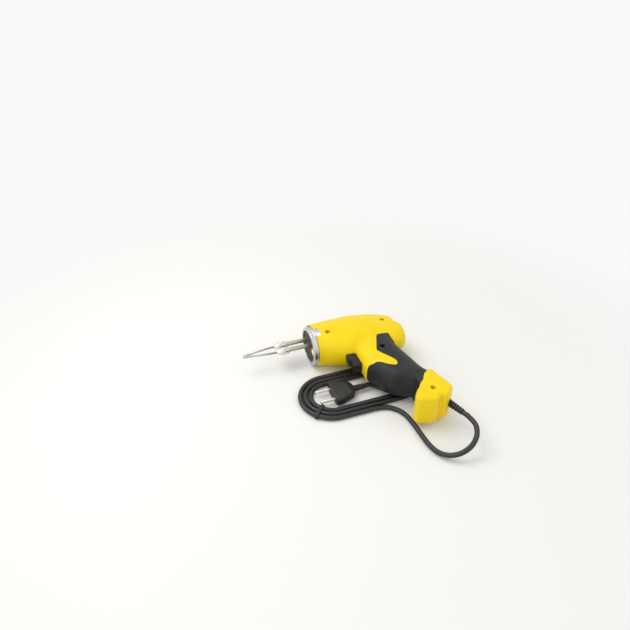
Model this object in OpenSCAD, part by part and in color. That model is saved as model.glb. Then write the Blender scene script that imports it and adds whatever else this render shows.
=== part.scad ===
// Pistol-shaped instant-heat soldering iron with a transformer inside, lying on its right side on a bench.
// +X runs from the tip to the back of the housing, +Y from the handle to the spine, +Z up to the left side.
// The shapes are drawn about the barrel's axis, from the nose ring's front face, and moved to the base at the end.

/* [Housing] */
// Length from the front of the nose ring to the back of the housing
body_len = 129; // [120:1:140]
// Height of the arched spine above the barrel's axis
spine_h = 31; // [29:0.5:34]
// Depth of the belly below the barrel's axis
belly_h = 44; // [42:0.5:47]
// Half of the barrel's thickness, which rests on the bench
barrel_half_w = 26.5; // [25.8:0.1:28]
// Depth from the barrel's axis to the foot of the handle
handle_drop = 162; // [155:1:170]
// Half of the handle's thickness
handle_half_w = 20; // [18.5:0.25:20]
// Wall of the moulded shells
wall = 2.4; // [2:0.1:3]
// Rounding of the foot's edges
foot_round = 5; // [3:0.5:6]

/* [Grip] */
// Thickness of the black grip panels
grip_t = 1.6; // [1.2:0.1:2]

/* [Nose] */
// Radius of the metal nose ring
ring_r = 25; // [24.6:0.1:25.2]
// Length of the ring's bare band
ring_band = 6.5; // [5:0.5:8]
// Whole length of the ring, with the part inside the shells
ring_len = 16; // [14:0.5:18]
// Wall of the nose ring
ring_wall = 1.5; // [1.2:0.1:2]
// Thickness of the insulating plate in the nose
plate_t = 5; // [4:0.5:6]
// Depth of the plate behind the ring's front edge
plate_set = 1.2; // [0.8:0.1:2]
// Radius of the work lamp's window
lamp_r = 4.5; // [3.5:0.25:5]
// Depth of the work lamp below the barrel's axis
lamp_drop = 14; // [13:0.5:15]
// Length of the work lamp's bulb
lamp_len = 11; // [10:0.5:12]

/* [Terminals] */
// Radius of each copper terminal rod
rod_r = 2.9; // [2.5:0.1:3.2]
// Distance between the two rods' centres
rod_gap = 12.4; // [12:0.1:13]
// Height of the rods' middle above the barrel's axis
rod_rise = 8; // [7:0.25:9]
// Length of the rods in front of the nose ring
rod_reach = 38; // [36:1:42]
// Distance across the flats of a tip nut
nut_af = 9.6; // [9:0.1:10]
// Length of a tip nut's hexagon
nut_len = 9; // [8:0.5:10]
// Length of a tip nut's tapered collet end
nut_taper = 7; // [6:0.5:8]
// Length of the thread inside a tip nut
thread_len = 12; // [10:0.5:13]

/* [Tip] */
// Radius of the tip's copper wire
tip_r = 1.25; // [1:0.05:1.5]
// Distance from the nose ring to the end of the tip
tip_reach = 85; // [80:1:92]
// Depth of the tip's legs inside the rods
tip_seat = 12; // [10:0.5:14]

/* [Transformer] */
// Thickness of the stack of laminations, along the barrel
core_stack = 34; // [30:1:36]
// Height of the laminations, across the barrel
core_h = 44; // [40:1:44]
// Width of the centre limb
limb_w = 14; // [12:1:15]
// Width of the outer limbs and yokes
yoke_w = 6; // [5:0.5:6.5]
// Wall of the coil bobbin
bobbin_t = 1; // [0.8:0.1:1.2]
// Thickness of the primary winding
coil_t = 3.4; // [3:0.1:3.6]
// Thickness of the secondary's copper strip
strip_t = 2.6; // [2:0.1:3]
// Width of the secondary's copper strip
strip_w = 12; // [10:0.5:14]
// Start of the stack behind the nose ring's front face
core_x = 40; // [39:0.5:42]
// Offset of the core's middle below the barrel's axis
core_drop = 5; // [4:0.5:6]

/* [Trigger] */
// Travel of the trigger
trigger_travel = 4.5; // [3.5:0.25:5]
// Half of the trigger's thickness
trigger_half_w = 6.4; // [6:0.1:7]
// Height of the trigger's finger face
trigger_h = 25; // [24:0.5:25.5]
// Depth of the trigger's top below the barrel's axis
trigger_drop = 40; // [39:0.25:41]
// Length of the trigger's outer blade
trigger_len = 20; // [19:0.5:21]
// Thickness of the leg that works the switch
leg_t = 3; // [2.5:0.25:3.5]
// Depth of the leg below the trigger's blade
leg_h = 11; // [9:0.5:12]
// Outer radius of the return spring
spring_r = 3; // [2.5:0.1:3.2]
// Radius of the return spring's wire
spring_wire_r = 0.4; // [0.3:0.05:0.5]
// Turns of the return spring
spring_turns = 6; // [4:1:8]

/* [Switch] */
// Length of the switch body
switch_l = 22; // [20:0.5:23]
// Height of the switch body
switch_h = 14; // [12:0.5:15]
// Half of the switch body's thickness
switch_half_w = 6; // [5:0.25:7]
// Radius of the switch plunger
plunger_r = 1.8; // [1.5:0.1:2]
// Length of the switch plunger
plunger_l = 11; // [10.5:0.25:12]

/* [Fastenings] */
// Radius of a housing screw's shank
screw_r = 1.5; // [1.25:0.05:1.75]
// Radius of a housing screw's head
head_r = 2.8; // [2.5:0.1:3]
// Height of a housing screw's head
head_h = 2; // [1.6:0.1:2.4]
// Radius of the recess over a housing screw
recess_r = 3.2; // [3:0.1:3.5]
// Depth of the recess over a housing screw
recess_d = 8; // [5:0.5:9]
// Radius of a screw boss
boss_r = 4.6; // [4.2:0.1:5]
// Depth of a screw's thread in the right shell
screw_bite = 10; // [8:0.5:12]

/* [Cord] */
// Diameter of the mains cord
cord_d = 5.8; // [5:0.1:6]
// Radius of the strain relief at the handle
relief_r = 4.4; // [4:0.1:4.6]
// Radius of the strain relief at its free end
relief_tip_r = 3.7; // [3.4:0.1:3.8]
// Length of the strain relief outside the handle
relief_len = 21; // [18:1:24]
// Length of the plug's body
plug_l = 27.5; // [26:0.5:28]
// Width of the plug's body
plug_w = 35; // [34:0.5:36]
// Thickness of the plug's body
plug_t = 13.7; // [13:0.1:14]
// Radius of a plug pin
pin_r = 2; // [1.9:0.05:2.1]
// Length of a plug pin
pin_l = 19; // [18:0.5:20]
// Distance between the plug pins
pin_gap = 18; // [17.5:0.1:18.5]
// Length of the plug's own strain relief
plug_relief_l = 15; // [13:0.5:15.5]

/* [Hidden] */

// Running clearance between pieces of one body
gap = 0.3;
// Clearance of a sliding fit
fit = 0.05;
// Overrun of every cut past the face it opens
over = 0.5;
// Thickness of a slice that two stretches of a loft share
slice = 0.4;

// The trigger's face and the core's width follow the housing that they work in
trigger_share = 0.283;
trigger_x = body_len * trigger_share;
core_share = 1.283;
core_w = barrel_half_w * core_share;

yellow = "#f2cf00";
black = "#26282a";
steel = "#b9bcbf";
copper = "#b87333";

// Side outline of the barrel: distance along the body, spine, belly and half thickness, as shares
barrel_shares = [
    [0.030, 0.85, 0.57, 0.965], [0.085, 0.88, 0.64, 0.975], [0.17, 0.95, 0.80, 0.99],
    [0.30, 1.00, 0.955, 1.0], [0.42, 1.00, 0.98, 1.0], [0.52, 0.985, 0.98, 0.97],
    [0.62, 0.95, 0.96, 0.92], [0.72, 0.88, 0.92, 0.85], [0.81, 0.77, 0.86, 0.76],
    [0.89, 0.62, 0.78, 0.68], [0.945, 0.45, 0.68, 0.58]];
// The rounded tail over the web of the hand, in the same shares
tail_shares = [[0.79, 0.36, 1.0, 0.69], [0.90, 0.22, 0.92, 0.62], [0.965, 0.02, 0.72, 0.52],
               [1.0, -0.18, 0.42, 0.34]];
// Sections of the handle: depth, front, back and half thickness, as shares of its own sizes
handle_shares = [
    [0.10, 0.42, 0.76, 0.86], [0.20, 0.395, 0.79, 0.98], [0.28, 0.37, 0.785, 1.0], [0.37, 0.365, 0.80, 1.0],
    [0.475, 0.37, 0.825, 1.0], [0.54, 0.435, 0.835, 1.0], [0.61, 0.46, 0.85, 1.0],
    [0.665, 0.52, 0.865, 1.0], [0.70, 0.61, 0.88, 0.995], [0.76, 0.69, 0.895, 0.97],
    [0.82, 0.70, 0.90, 0.93]];
// Outline of the foot, from the neck's front round by the toe, the cord boss and the heel
foot_shares = [
    [0.70, -0.73], [0.685, -0.80], [0.665, -0.835], [0.625, -0.86], [0.58, -0.905], [0.572, -0.945],
    [0.60, -0.972], [0.69, -1.0], [0.74, -1.0], [0.775, -0.975], [0.80, -0.975], [0.825, -0.992],
    [0.86, -0.98], [0.93, -0.93], [0.94, -0.90], [0.925, -0.83], [0.90, -0.77], [0.872, -0.70]];
// The black panel on each side, from its top corner by the tail, the heel and the finger bulge
panel_shares = [
    [0.625, -0.205], [0.665, -0.190], [0.72, -0.183], [0.765, -0.183], [0.782, -0.215],
    [0.775, -0.27], [0.79, -0.30], [0.95, -0.36], [0.95, -0.655], [0.865, -0.698], [0.79, -0.735],
    [0.755, -0.765], [0.73, -0.795], [0.67, -0.83], [0.60, -0.86], [0.35, -0.80], [0.35, -0.50],
    [0.44, -0.49], [0.458, -0.49], [0.50, -0.512], [0.54, -0.548], [0.59, -0.580], [0.615, -0.575],
    [0.628, -0.55], [0.62, -0.515], [0.57, -0.445], [0.535, -0.393], [0.530, -0.367],
    [0.568, -0.30]];

// Centre of the object's base, seen from above: midway between tip and tail, spine and cord relief
base_x = (body_len - tip_reach) / 2;
relief_angle = 18;
relief_dir = [sin(relief_angle), -cos(relief_angle), 0];
relief_seat_shares = [0.888, -0.955];
relief_seat = at(relief_seat_shares);
relief_end = relief_seat + relief_len * relief_dir;
base_y = (spine_h + relief_end[1] - relief_tip_r * relief_dir[0]) / 2;

// A point of a side outline: shares of the body's length and of the handle's depth
function at(s) = [body_len * s[0], handle_drop * s[1], 0];
function flat(s) = [body_len * s[0], handle_drop * s[1]];

// Screw places on the side: below the nose, behind the core, in the black panel and in the foot
screw_shares = [[0.172, -0.068], [0.79, -0.03], [0.605, -0.345], [0.755, -0.895]];
// Half thickness of the shell at each screw, as a share of the barrel's
screw_level_shares = [0.90, 0.70, 0.755, 0.755];

// Superellipse of half width a and half height b
function bulge(a, b, power, count) = [for (k = [0 : count - 1])
    let (t = 360 * k / count, c = cos(t), s = sin(t))
    [a * sign(c) * pow(abs(c), 2 / power), b * sign(s) * pow(abs(s), 2 / power)]];

// One slice of the barrel or tail, thinned by a wall
module barrel_slice(s, thin) {
    top = spine_h * s[1] - thin;
    low = -belly_h * s[2] + thin;
    translate([min(body_len * s[0], body_len - thin), (top + low) / 2, 0])
        rotate([90, 0, 90])
            linear_extrude(slice)
                polygon(bulge((top - low) / 2, barrel_half_w * s[3] - thin, barrel_power, 28));
}

// One slice of the handle, thinned by a wall
module handle_slice(s, thin) {
    front = body_len * s[1] + thin;
    back = body_len * s[2] - thin;
    translate([(front + back) / 2, -handle_drop * s[0], 0])
        rotate([90, 0, 0])
            linear_extrude(slice)
                polygon(bulge((back - front) / 2, handle_half_w * s[3] - thin, handle_power, 24));
}
barrel_power = 2.2;
handle_power = 2.9;

// The foot: its side outline, extruded through the handle's thickness with rounded edges
module foot(thin) {
    round = foot_round - min(thin, foot_round / 2);
    minkowski() {
        translate([0, 0, foot_round - handle_half_w])
            linear_extrude(2 * (handle_half_w - foot_round))
                offset(delta = -foot_round)
                    polygon([for (s = foot_shares) flat(s)]);
        sphere(round, $fn = 12);
    }
}

// The whole outside of the housing, or its inside where thin is the wall
module body_form(thin) {
    for (i = [0 : len(barrel_shares) - 2])
        hull() {
            barrel_slice(barrel_shares[i], thin);
            barrel_slice(barrel_shares[i + 1], thin);
        }
    for (i = [0 : len(tail_shares) - 2])
        hull() {
            barrel_slice(tail_shares[i], thin);
            barrel_slice(tail_shares[i + 1], thin);
        }
    handle_form(thin);
}

module handle_form(thin) {
    for (i = [0 : len(handle_shares) - 2])
        hull() {
            handle_slice(handle_shares[i], thin);
            handle_slice(handle_shares[i + 1], thin);
        }
    foot(thin);
}

// The half of space on one side of the parting plane: side is 1 for the left, -1 for the right
module half_space(side) {
    translate([-body_len, -2 * handle_drop, side > 0 ? 0 : -handle_drop])
        cube([3 * body_len, 3 * handle_drop, handle_drop]);
}

// The slot that the trigger comes out of
module trigger_slot() {
    translate([trigger_x - gap - over, -trigger_drop - trigger_h - gap, -trigger_half_w - gap])
        cube([trigger_len, trigger_h + 2 * gap, 2 * (trigger_half_w + gap)]);
}

// Windows beside the spine where the ring's metal shows
window_shares = [0.05, 0.122, 0.005, 0.095];
module ring_window(side) {
    translate([body_len * window_shares[0], handle_drop * window_shares[2],
               side > 0 ? barrel_half_w / 2 : -2 * barrel_half_w])
        cube([body_len * (window_shares[1] - window_shares[0]),
              handle_drop * (window_shares[3] - window_shares[2]), barrel_half_w * 3 / 2]);
}

// The pocket that a grip panel lies in
module panel_prism(side) {
    translate([0, 0, side > 0 ? -over : -2 * handle_half_w])
        linear_extrude(2 * handle_half_w + over)
            polygon([for (s = panel_shares) flat(s)]);
}

// Moves a shape from the barrel's axis to the object's base
module to_base() {
    translate([-base_x, -base_y, barrel_half_w])
        children();
}

// Ribs and bosses that stand inside one shell
module inner_supports(side) {
    for (i = [0 : len(screw_shares) - 1])
        translate(at(screw_shares[i]) + [0, 0, side > 0 ? 0 : -barrel_half_w])
            cylinder(r = boss_r, h = barrel_half_w, $fn = 24);
    for (x = rib_places)
        difference() {
            translate([x, -belly_h, -barrel_half_w])
                cube([rib_t, belly_h + spine_h, 2 * barrel_half_w]);
            translate([x - over, -core_drop - core_h / 2 - gap, -core_w / 2 - gap])
                cube([rib_t + 2 * over, core_h + 2 * gap, core_w + 2 * gap]);
        }
}
rib_t = wall;
strap_t = 0.8;
rib_places = [core_x + core_stack / 8, core_x + core_stack * 7 / 8 - rib_t];

// One moulded shell before its screw holes are drilled
module shell_form(side) {
    intersection() {
        difference() {
            body_form(0);
            difference() {
                body_form(wall);
                inner_supports(side);
            }
            difference() {
                panel_prism(side);
                body_form(grip_t);
            }
            trigger_slot();
            ring_window(side);
            nose_front();
            ring_seat();
        }
        half_space(side);
    }
}

// Clears the shell in front of its edge, but for the tongue of the spine
tongue_share = 0.085;
module nose_front() {
    translate([-over, -2 * belly_h + handle_drop * tongue_share, -2 * barrel_half_w])
        cube([ring_band + gap + over, 2 * belly_h, 4 * barrel_half_w]);
}

// Room for the nose ring inside the shells
module ring_seat() {
    translate([-over, 0, 0])
        rotate([0, 90, 0])
            cylinder(r = ring_r + gap, h = ring_band + gap + over + fit, $fn = 96);
    rotate([0, 90, 0])
        cylinder(r = ring_r - ring_step + fit, h = ring_len + gap, $fn = 96);
}
ring_step = 1.4;

// Clearance for the cord's strain relief through the foot's wall
module relief_hole() {
    translate(relief_seat)
        rotate([90, 0, relief_angle]) {
            translate([0, 0, -relief_root])
                cylinder(r = relief_r + fit, h = relief_len, $fn = 48);
            translate([0, 0, -relief_root - flange_t - gap])
                cylinder(r = relief_r + flange_t + gap, h = flange_t + 2 * gap, $fn = 48);
        }
}
relief_root = 6;
flange_t = 2;

module screw_cut(side, i) {
    level = barrel_half_w * screw_level_shares[i];
    translate(at(screw_shares[i])) {
        if (side > 0) {
            translate([0, 0, -over])
                cylinder(r = screw_r + gap, h = level, $fn = 32);
            translate([0, 0, level - recess_d])
                cylinder(r = recess_r, h = recess_d + barrel_half_w, $fn = 32);
        } else {
            translate([0, 0, -screw_bite - over])
                cylinder(r = screw_r + fit, h = screw_bite + 2 * over, $fn = 32);
        }
    }
}

module left_housing() {
    color(yellow)
        to_base()
            difference() {
                shell_form(1);
                relief_hole();
                for (i = [0 : len(screw_shares) - 1])
                    screw_cut(1, i);
            }
}

module right_housing() {
    color(yellow)
        to_base()
            difference() {
                shell_form(-1);
                relief_hole();
                for (i = [0 : len(screw_shares) - 1])
                    screw_cut(-1, i);
            }
}

// A black panel that lies in the pocket of one shell
module grip_panel(side) {
    intersection() {
        difference() {
            body_form(0);
            body_form(grip_t);
            trigger_slot();
        }
        panel_prism(side);
        half_space(side);
    }
}

module left_grip() {
    color(black)
        to_base()
            difference() {
                grip_panel(1);
                screw_cut(1, 2);
            }
}

module right_grip() {
    color(black)
        to_base()
            grip_panel(-1);
}

module nose_ring() {
    inner = ring_r - ring_step - ring_wall;
    color(steel)
        to_base()
            rotate([0, 90, 0])
                rotate_extrude($fn = 96)
                    polygon([
                        [inner, plate_set], [inner - lip, plate_set], [inner - lip, edge / 2],
                        [inner - lip + edge / 2, 0], [ring_r - edge, 0], [ring_r, edge],
                        [ring_r, ring_band], [ring_r - ring_step, ring_band],
                        [ring_r - ring_step, ring_len], [inner, ring_len]]);
}
lip = 1.2;
edge = 1;

module nose_insulator() {
    radius = ring_r - ring_step - ring_wall - fit;
    color(black)
        to_base()
            difference() {
                translate([plate_set + fit, 0, 0])
                    rotate([0, 90, 0])
                        cylinder(r = radius, h = plate_t, $fn = 96);
                for (side = [-1, 1])
                    translate([plate_set - over, rod_rise + side * rod_gap / 2, 0])
                        rotate([0, 90, 0])
                            cylinder(r = rod_r + fit, h = plate_t + 2 * over, $fn = 48);
                translate([plate_set - over, -lamp_drop, 0])
                    rotate([0, 90, 0])
                        cylinder(r = lamp_r + fit, h = plate_t + 2 * over, $fn = 48);
            }
}

module work_lamp() {
    color("#e8cf8a")
        to_base()
            translate([plate_set, -lamp_drop, 0])
                rotate([0, 90, 0])
                    rotate_extrude($fn = 48)
                        polygon(concat(
                            [for (s = dome_shares) [lamp_r * s[0], lamp_dome * s[1]]],
                            [for (s = holder_shares) [lamp_r * s[0], lamp_len * s[1]]]));
}
dome_shares = [[0, -1], [0.45, -0.85], [0.8, -0.4], [1, 0.4]];
holder_shares = [[1, 0.6], [0.7, 0.65], [0.7, 1], [0, 1]];
lamp_dome = 0.8;

module lamp_socket() {
    back = plate_set + lamp_len + fit;
    front = plate_set + fit + plate_t;
    color(black)
        to_base()
            translate([front, -lamp_drop, 0])
                rotate([0, 90, 0])
                    difference() {
                        cylinder(r = lamp_r + socket_wall, h = back - front + socket_wall, $fn = 48);
                        translate([0, 0, -over])
                            cylinder(r = lamp_r + gap, h = back - front + over, $fn = 48);
                    }
}
socket_wall = 1.2;

// Closed core of stacked laminations, with two windows along the barrel
module transformer_core() {
    color("#5d6064")
        to_base()
            translate([core_x, -core_drop, 0])
                difference() {
                    translate([0, -core_h / 2, -core_w / 2])
                        cube([core_stack, core_h, core_w]);
                    for (side = [-1, 1])
                        translate([-over, side * (limb_w + window_h) / 2 - window_h / 2,
                                   yoke_w - core_w / 2])
                            cube([core_stack + 2 * over, window_h, core_w - 2 * yoke_w]);
                }
}
window_h = (core_h - limb_w) / 2 - yoke_w;
coil_z = core_w / 2 - yoke_w - gap;

// A rectangular ring round the centre limb: its inner and outer reach from the limb
module limb_ring(inner, outer, half_h) {
    translate([core_x + core_stack / 2, -core_drop, 0])
        difference() {
            cube([core_stack + 2 * outer, limb_w + 2 * outer, 2 * half_h], center = true);
            cube([core_stack + 2 * inner, limb_w + 2 * inner, 2 * (half_h + over)], center = true);
        }
}

module coil_bobbin() {
    color("#e9e4d2")
        to_base()
            union() {
                limb_ring(gap, gap + bobbin_t, coil_z);
                for (side = [-1, 1])
                    translate([0, 0, side * (coil_z - bobbin_t / 2)])
                        limb_ring(gap, gap + bobbin_t + coil_t, bobbin_t / 2);
            }
}

module primary_coil() {
    color(copper)
        to_base()
            limb_ring(gap + bobbin_t + fit, gap + bobbin_t + coil_t, coil_z - bobbin_t - fit);
}

// One turn of copper strip through both windows, with the two terminal rods on its ends
module secondary_winding() {
    reach = limb_w / 2 + 2 * gap + bobbin_t + coil_t;
    front = core_x - 2 * gap - bobbin_t - coil_t - strip_front;
    back = core_x + core_stack + 2 * gap + bobbin_t + coil_t;
    high = rod_rise + rod_gap / 2;
    low = rod_rise - rod_gap / 2;
    color(copper)
        to_base()
            difference() {
                union() {
                    translate([0, 0, -strip_w / 2])
                        linear_extrude(strip_w) {
                            translate([front, reach - core_drop])
                                square([back - front + strip_t, strip_t]);
                            translate([front, -reach - core_drop - strip_t])
                                square([back - front + strip_t, strip_t]);
                            translate([back, -reach - core_drop - strip_t])
                                square([strip_t, 2 * (reach + strip_t)]);
                            translate([front, reach - core_drop])
                                square([strip_t, high + rod_r - reach + core_drop]);
                            translate([front, -reach - core_drop - strip_t])
                                square([strip_t, low + rod_r + reach + core_drop + strip_t]);
                        }
                    for (y = [low, high])
                        translate([-rod_reach, y, 0])
                            rotate([0, 90, 0])
                                cylinder(r = rod_r, h = rod_reach + front + strip_t / 2, $fn = 48);
                }
                for (y = [low, high])
                    translate([-rod_reach - over, y, 0])
                        rotate([0, 90, 0])
                            cylinder(r = tip_r + fit, h = tip_seat + over + gap, $fn = 32);
            }
}
strip_front = 3.5;

// A steel strap round the laminations
module core_bracket() {
    color(steel)
        to_base()
            translate([core_x + core_stack / 2 - strap_w / 2, -core_drop, 0])
                difference() {
                    translate([0, -core_h / 2 - strap_t, -core_w / 2 - strap_t])
                        cube([strap_w, core_h + 2 * strap_t, core_w + 2 * strap_t]);
                    translate([-over, -core_h / 2, -core_w / 2])
                        cube([strap_w + 2 * over, core_h, core_w]);
                }
}
strap_w = 12;

// A hexagon nut with a tapered collet end, on a threaded rod end
module tip_nut(y) {
    root = -rod_reach + thread_len;
    color(steel)
        to_base()
            translate([root, y, 0])
                rotate([0, -90, 0])
                    difference() {
                        union() {
                            rotate([0, 0, 30])
                                cylinder(r = nut_af / sqrt(3), h = nut_len, $fn = 6);
                            translate([0, 0, nut_len - over])
                                cylinder(r1 = nut_af / 2 - gap, r2 = nut_af / 4, h = nut_taper + over, $fn = 48);
                        }
                        translate([0, 0, -over])
                            cylinder(r = rod_r + fit, h = thread_len + over + gap, $fn = 48);
                        cylinder(r = tip_r + fit, h = nut_len + nut_taper + over, $fn = 32);
                    }
}

module upper_tip_nut() {
    tip_nut(rod_rise + rod_gap / 2);
}

module lower_tip_nut() {
    tip_nut(rod_rise - rod_gap / 2);
}

function unit(v) = v / norm(v);

// A round tube swept along a path, with a radius for each point
module tube(path, radii, sides) {
    last = len(path) - 1;
    points = [for (i = [0 : last])
        let (t = unit(path[min(i + 1, last)] - path[max(i - 1, 0)]),
             u = unit(cross(t, [0, 0, 1])), v = cross(u, t),
             r = is_list(radii) ? radii[i] : radii)
        for (k = [0 : sides - 1])
            let (a = 360 * (k + 0.5) / sides - 90 - 180 / sides)
            path[i] + r * cos(a) * u + r * sin(a) * v];
    sheets = [for (i = [0 : last - 1], k = [0 : sides - 1])
        let (a = i * sides + k, b = i * sides + (k + 1) % sides)
        for (face = [[a, b + sides, a + sides], [a, b, b + sides]]) face];
    near = [for (k = [1 : sides - 2]) [0, k + 1, k]];
    far = [for (k = [1 : sides - 2]) [last * sides, last * sides + k, last * sides + k + 1]];
    polyhedron(points = points, faces = concat(sheets, near, far));
}

// Two legs of bare copper wire that meet in a flattened working end: along the reach, and half the gap
tip_path_shares = [[0.34, 1], [0.50, 1], [0.56, 0.98], [0.68, 0.80], [0.80, 0.56], [0.90, 0.33],
                   [0.96, 0.20], [0.985, 0.11]];
module soldering_tip() {
    legs = [for (s = tip_path_shares) [-tip_reach * s[0], rod_rise + rod_gap / 2 * s[1], 0]];
    back = [for (i = [len(tip_path_shares) - 1 : -1 : 0])
        let (s = tip_path_shares[i]) [-tip_reach * s[0], rod_rise - rod_gap / 2 * s[1], 0]];
    start = [-rod_reach + tip_seat, rod_rise + rod_gap / 2, 0];
    finish = [-rod_reach + tip_seat, rod_rise - rod_gap / 2, 0];
    color(copper)
        to_base()
            tube(concat([start], legs, [[-tip_reach + tip_r, rod_rise, 0]], back, [finish]), tip_r, 10);
}

module trigger() {
    back = trigger_x + trigger_len;
    color(black)
        to_base()
            union() {
                translate([0, 0, -trigger_half_w])
                    linear_extrude(2 * trigger_half_w)
                        difference() {
                            translate([trigger_x, -trigger_drop - trigger_h])
                                square([trigger_len, trigger_h]);
                            translate([trigger_x - finger_r + finger_dip,
                                       -trigger_drop - trigger_h * finger_share])
                                circle(r = finger_r, $fn = 72);
                        }
                translate([back - leg_t, -trigger_drop - trigger_h - leg_h, -leg_half_w])
                    cube([leg_t, leg_h + over, 2 * leg_half_w]);
                translate([back - shoulder_l, -trigger_drop - trigger_h, -trigger_half_w - leg_t])
                    cube([shoulder_l, trigger_h, 2 * (trigger_half_w + leg_t)]);
            }
}
finger_r = 12;
finger_dip = 2.5;
leg_half_w = 4;
shoulder_l = 3.2;
finger_share = 0.62;

spring_share = 0.4;
spring_y = -trigger_drop - trigger_h * spring_share;
spring_len = 11.5;
carrier_x = trigger_x + trigger_len + spring_len;

// The return spring, one helix of wire with flat closed ends
module trigger_spring() {
    turn = 12;
    steps = spring_turns * turn;
    path = [for (i = [0 : steps])
        let (a = 360 * i / turn)
        [trigger_x + trigger_len + gap + spring_wire_r
             + (spring_len - 2 * gap - 2 * spring_wire_r) * i / steps,
         spring_y + (spring_r - spring_wire_r) * cos(a), (spring_r - spring_wire_r) * sin(a)]];
    color(steel)
        to_base()
            tube(path, spring_wire_r, 6);
}

// The moulded frame that the spring and the switch bear on
module switch_carrier() {
    shelf_y = -trigger_drop - trigger_h - shelf_set;
    color("#3a3c3f")
        to_base()
            difference() {
                intersection() {
                    body_form(wall + gap);
                    union() {
                        translate([carrier_x, shelf_y, -handle_half_w])
                            cube([carrier_t, trigger_h * upright_share, 2 * handle_half_w]);
                        translate([carrier_x - shelf_l, shelf_y, -handle_half_w])
                            cube([switch_l + shelf_l, carrier_t, 2 * handle_half_w]);
                    }
                }
                translate(at(screw_shares[2]) - [0, 0, barrel_half_w])
                    cylinder(r = boss_r + gap, h = 2 * barrel_half_w, $fn = 24);
            }
}
carrier_t = 2.5;
shelf_l = 5;
shelf_set = 0.5;
upright_share = 0.85;

switch_x = trigger_x + trigger_len + trigger_travel + 2 * gap;
switch_y = -trigger_drop - trigger_h - shelf_set - gap;
plunger_share = 0.42;
plunger_y = switch_y - switch_h * plunger_share;

module switch_body() {
    color("#1d1e20")
        to_base()
            difference() {
                translate([switch_x, switch_y - switch_h, -switch_half_w])
                    cube([switch_l, switch_h, 2 * switch_half_w]);
                translate([switch_x - over, plunger_y, 0])
                    rotate([0, 90, 0])
                        cylinder(r = plunger_r + fit, h = over + plunger_l + gap, $fn = 32);
            }
}

module switch_plunger() {
    color("#c23b2a")
        to_base()
            translate([trigger_x + trigger_len + gap, plunger_y, 0])
                rotate([0, 90, 0])
                    cylinder(r = plunger_r, h = plunger_l, $fn = 32);
}

module switch_terminals() {
    color("#c9b26a")
        to_base()
            for (side = [-1, 1])
                translate([switch_x + switch_l, switch_y - switch_h / 2 + side * switch_h / 4,
                           -blade_w / 2])
                    cube([blade_l, blade_t, blade_w]);
}
blade_l = 5;
blade_t = 0.8;
blade_w = 4.8;

// The bridge that holds the cord's sheath inside the foot
clamp_set = 20;
module cord_clamp() {
    color(steel)
        to_base()
            translate(relief_seat - clamp_set * relief_dir)
                rotate([0, 0, relief_angle])
                    difference() {
                        cube([clamp_w, clamp_l, 2 * (cord_d / 2 + clamp_t)], center = true);
                        rotate([90, 0, 0])
                            cylinder(r = cord_d / 2 + fit, h = 2 * clamp_l, center = true, $fn = 48);
                    }
}
clamp_w = 14;
clamp_l = 7;
clamp_t = 2;

module housing_screws() {
    color(steel)
        to_base()
            for (i = [0 : len(screw_shares) - 1])
                let (seat = barrel_half_w * screw_level_shares[i] - recess_d)
                    translate(at(screw_shares[i])) {
                        translate([0, 0, seat])
                            cylinder(r = head_r, h = head_h, $fn = 32);
                        translate([0, 0, -screw_bite])
                            cylinder(r = screw_r, h = screw_bite + seat, $fn = 32);
                    }
}

// The moulded boot at the foot, with a flange inside and ribs outside
module cord_strain_relief() {
    ribs = 6;
    pitch = relief_len / ribs;
    color(black)
        to_base()
            translate(relief_seat)
                rotate([90, 0, relief_angle])
                    union() {
                        translate([0, 0, -relief_root])
                            cylinder(r = relief_r, h = relief_root, $fn = 48);
                        translate([0, 0, -relief_root - flange_t])
                            cylinder(r = relief_r + flange_t, h = flange_t, $fn = 48);
                        for (i = [0 : ribs - 1])
                            let (r = relief_r + (relief_tip_r - relief_r) * i / (ribs - 1)) {
                                translate([0, 0, i * pitch])
                                    cylinder(r = r, h = pitch * rib_share, $fn = 48);
                                translate([0, 0, i * pitch])
                                    cylinder(r = cord_d / 2 + rib_root, h = pitch, $fn = 48);
                            }
                    }
}
rib_root = 0.2;
rib_share = 0.6;

// A smooth curve through points, as short straight steps
function curve(p, steps) = concat([p[0]], [for (i = [0 : len(p) - 2], k = [1 : steps])
    let (t = k / steps, a = p[max(i - 1, 0)], b = p[i], c = p[i + 1], d = p[min(i + 2, len(p) - 1)])
    (2 * b + (c - a) * t + (2 * a - 5 * b + 4 * c - d) * t * t
        + (3 * b - a - 3 * c + d) * t * t * t) / 2]);

// The free cord's middle: distance behind the nose ring, height across, height over the bench
cord_r = cord_d / 2;
lead_route = [
    [124.3, -193.9, 25], [119.1, -205.1, 21.5], [108.9, -212.3, 16.5], [96.5, -213.3, 11],
    [85.3, -208.1, 6.5], [78.1, -197.9, 3.8], [75, -184, 2.9], [74.4, -167, 2.9],
    [74.2, -150, 2.9], [72.3, -134, 2.9], [66.6, -122.9, 2.9], [56.5, -115.2, 2.9]];

// The wound cord is a stadium: the middles of its two bends, its first radius and its pitch
bend_left = [2, -74];
bend_right = [84, -74];
wind_r = 38;
wind_pitch = 6.5;
wind_start = -0.07;
wind_rings = 68;
loop_rings = 24;
wind_end = wind_start + wind_rings / loop_rings;

// Where each loop turns: the ends of its left bend, upper run and right bend
left_turn = 1 / 3;
upper_turn = 1 / 2;
right_turn = 5 / 6;

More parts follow.
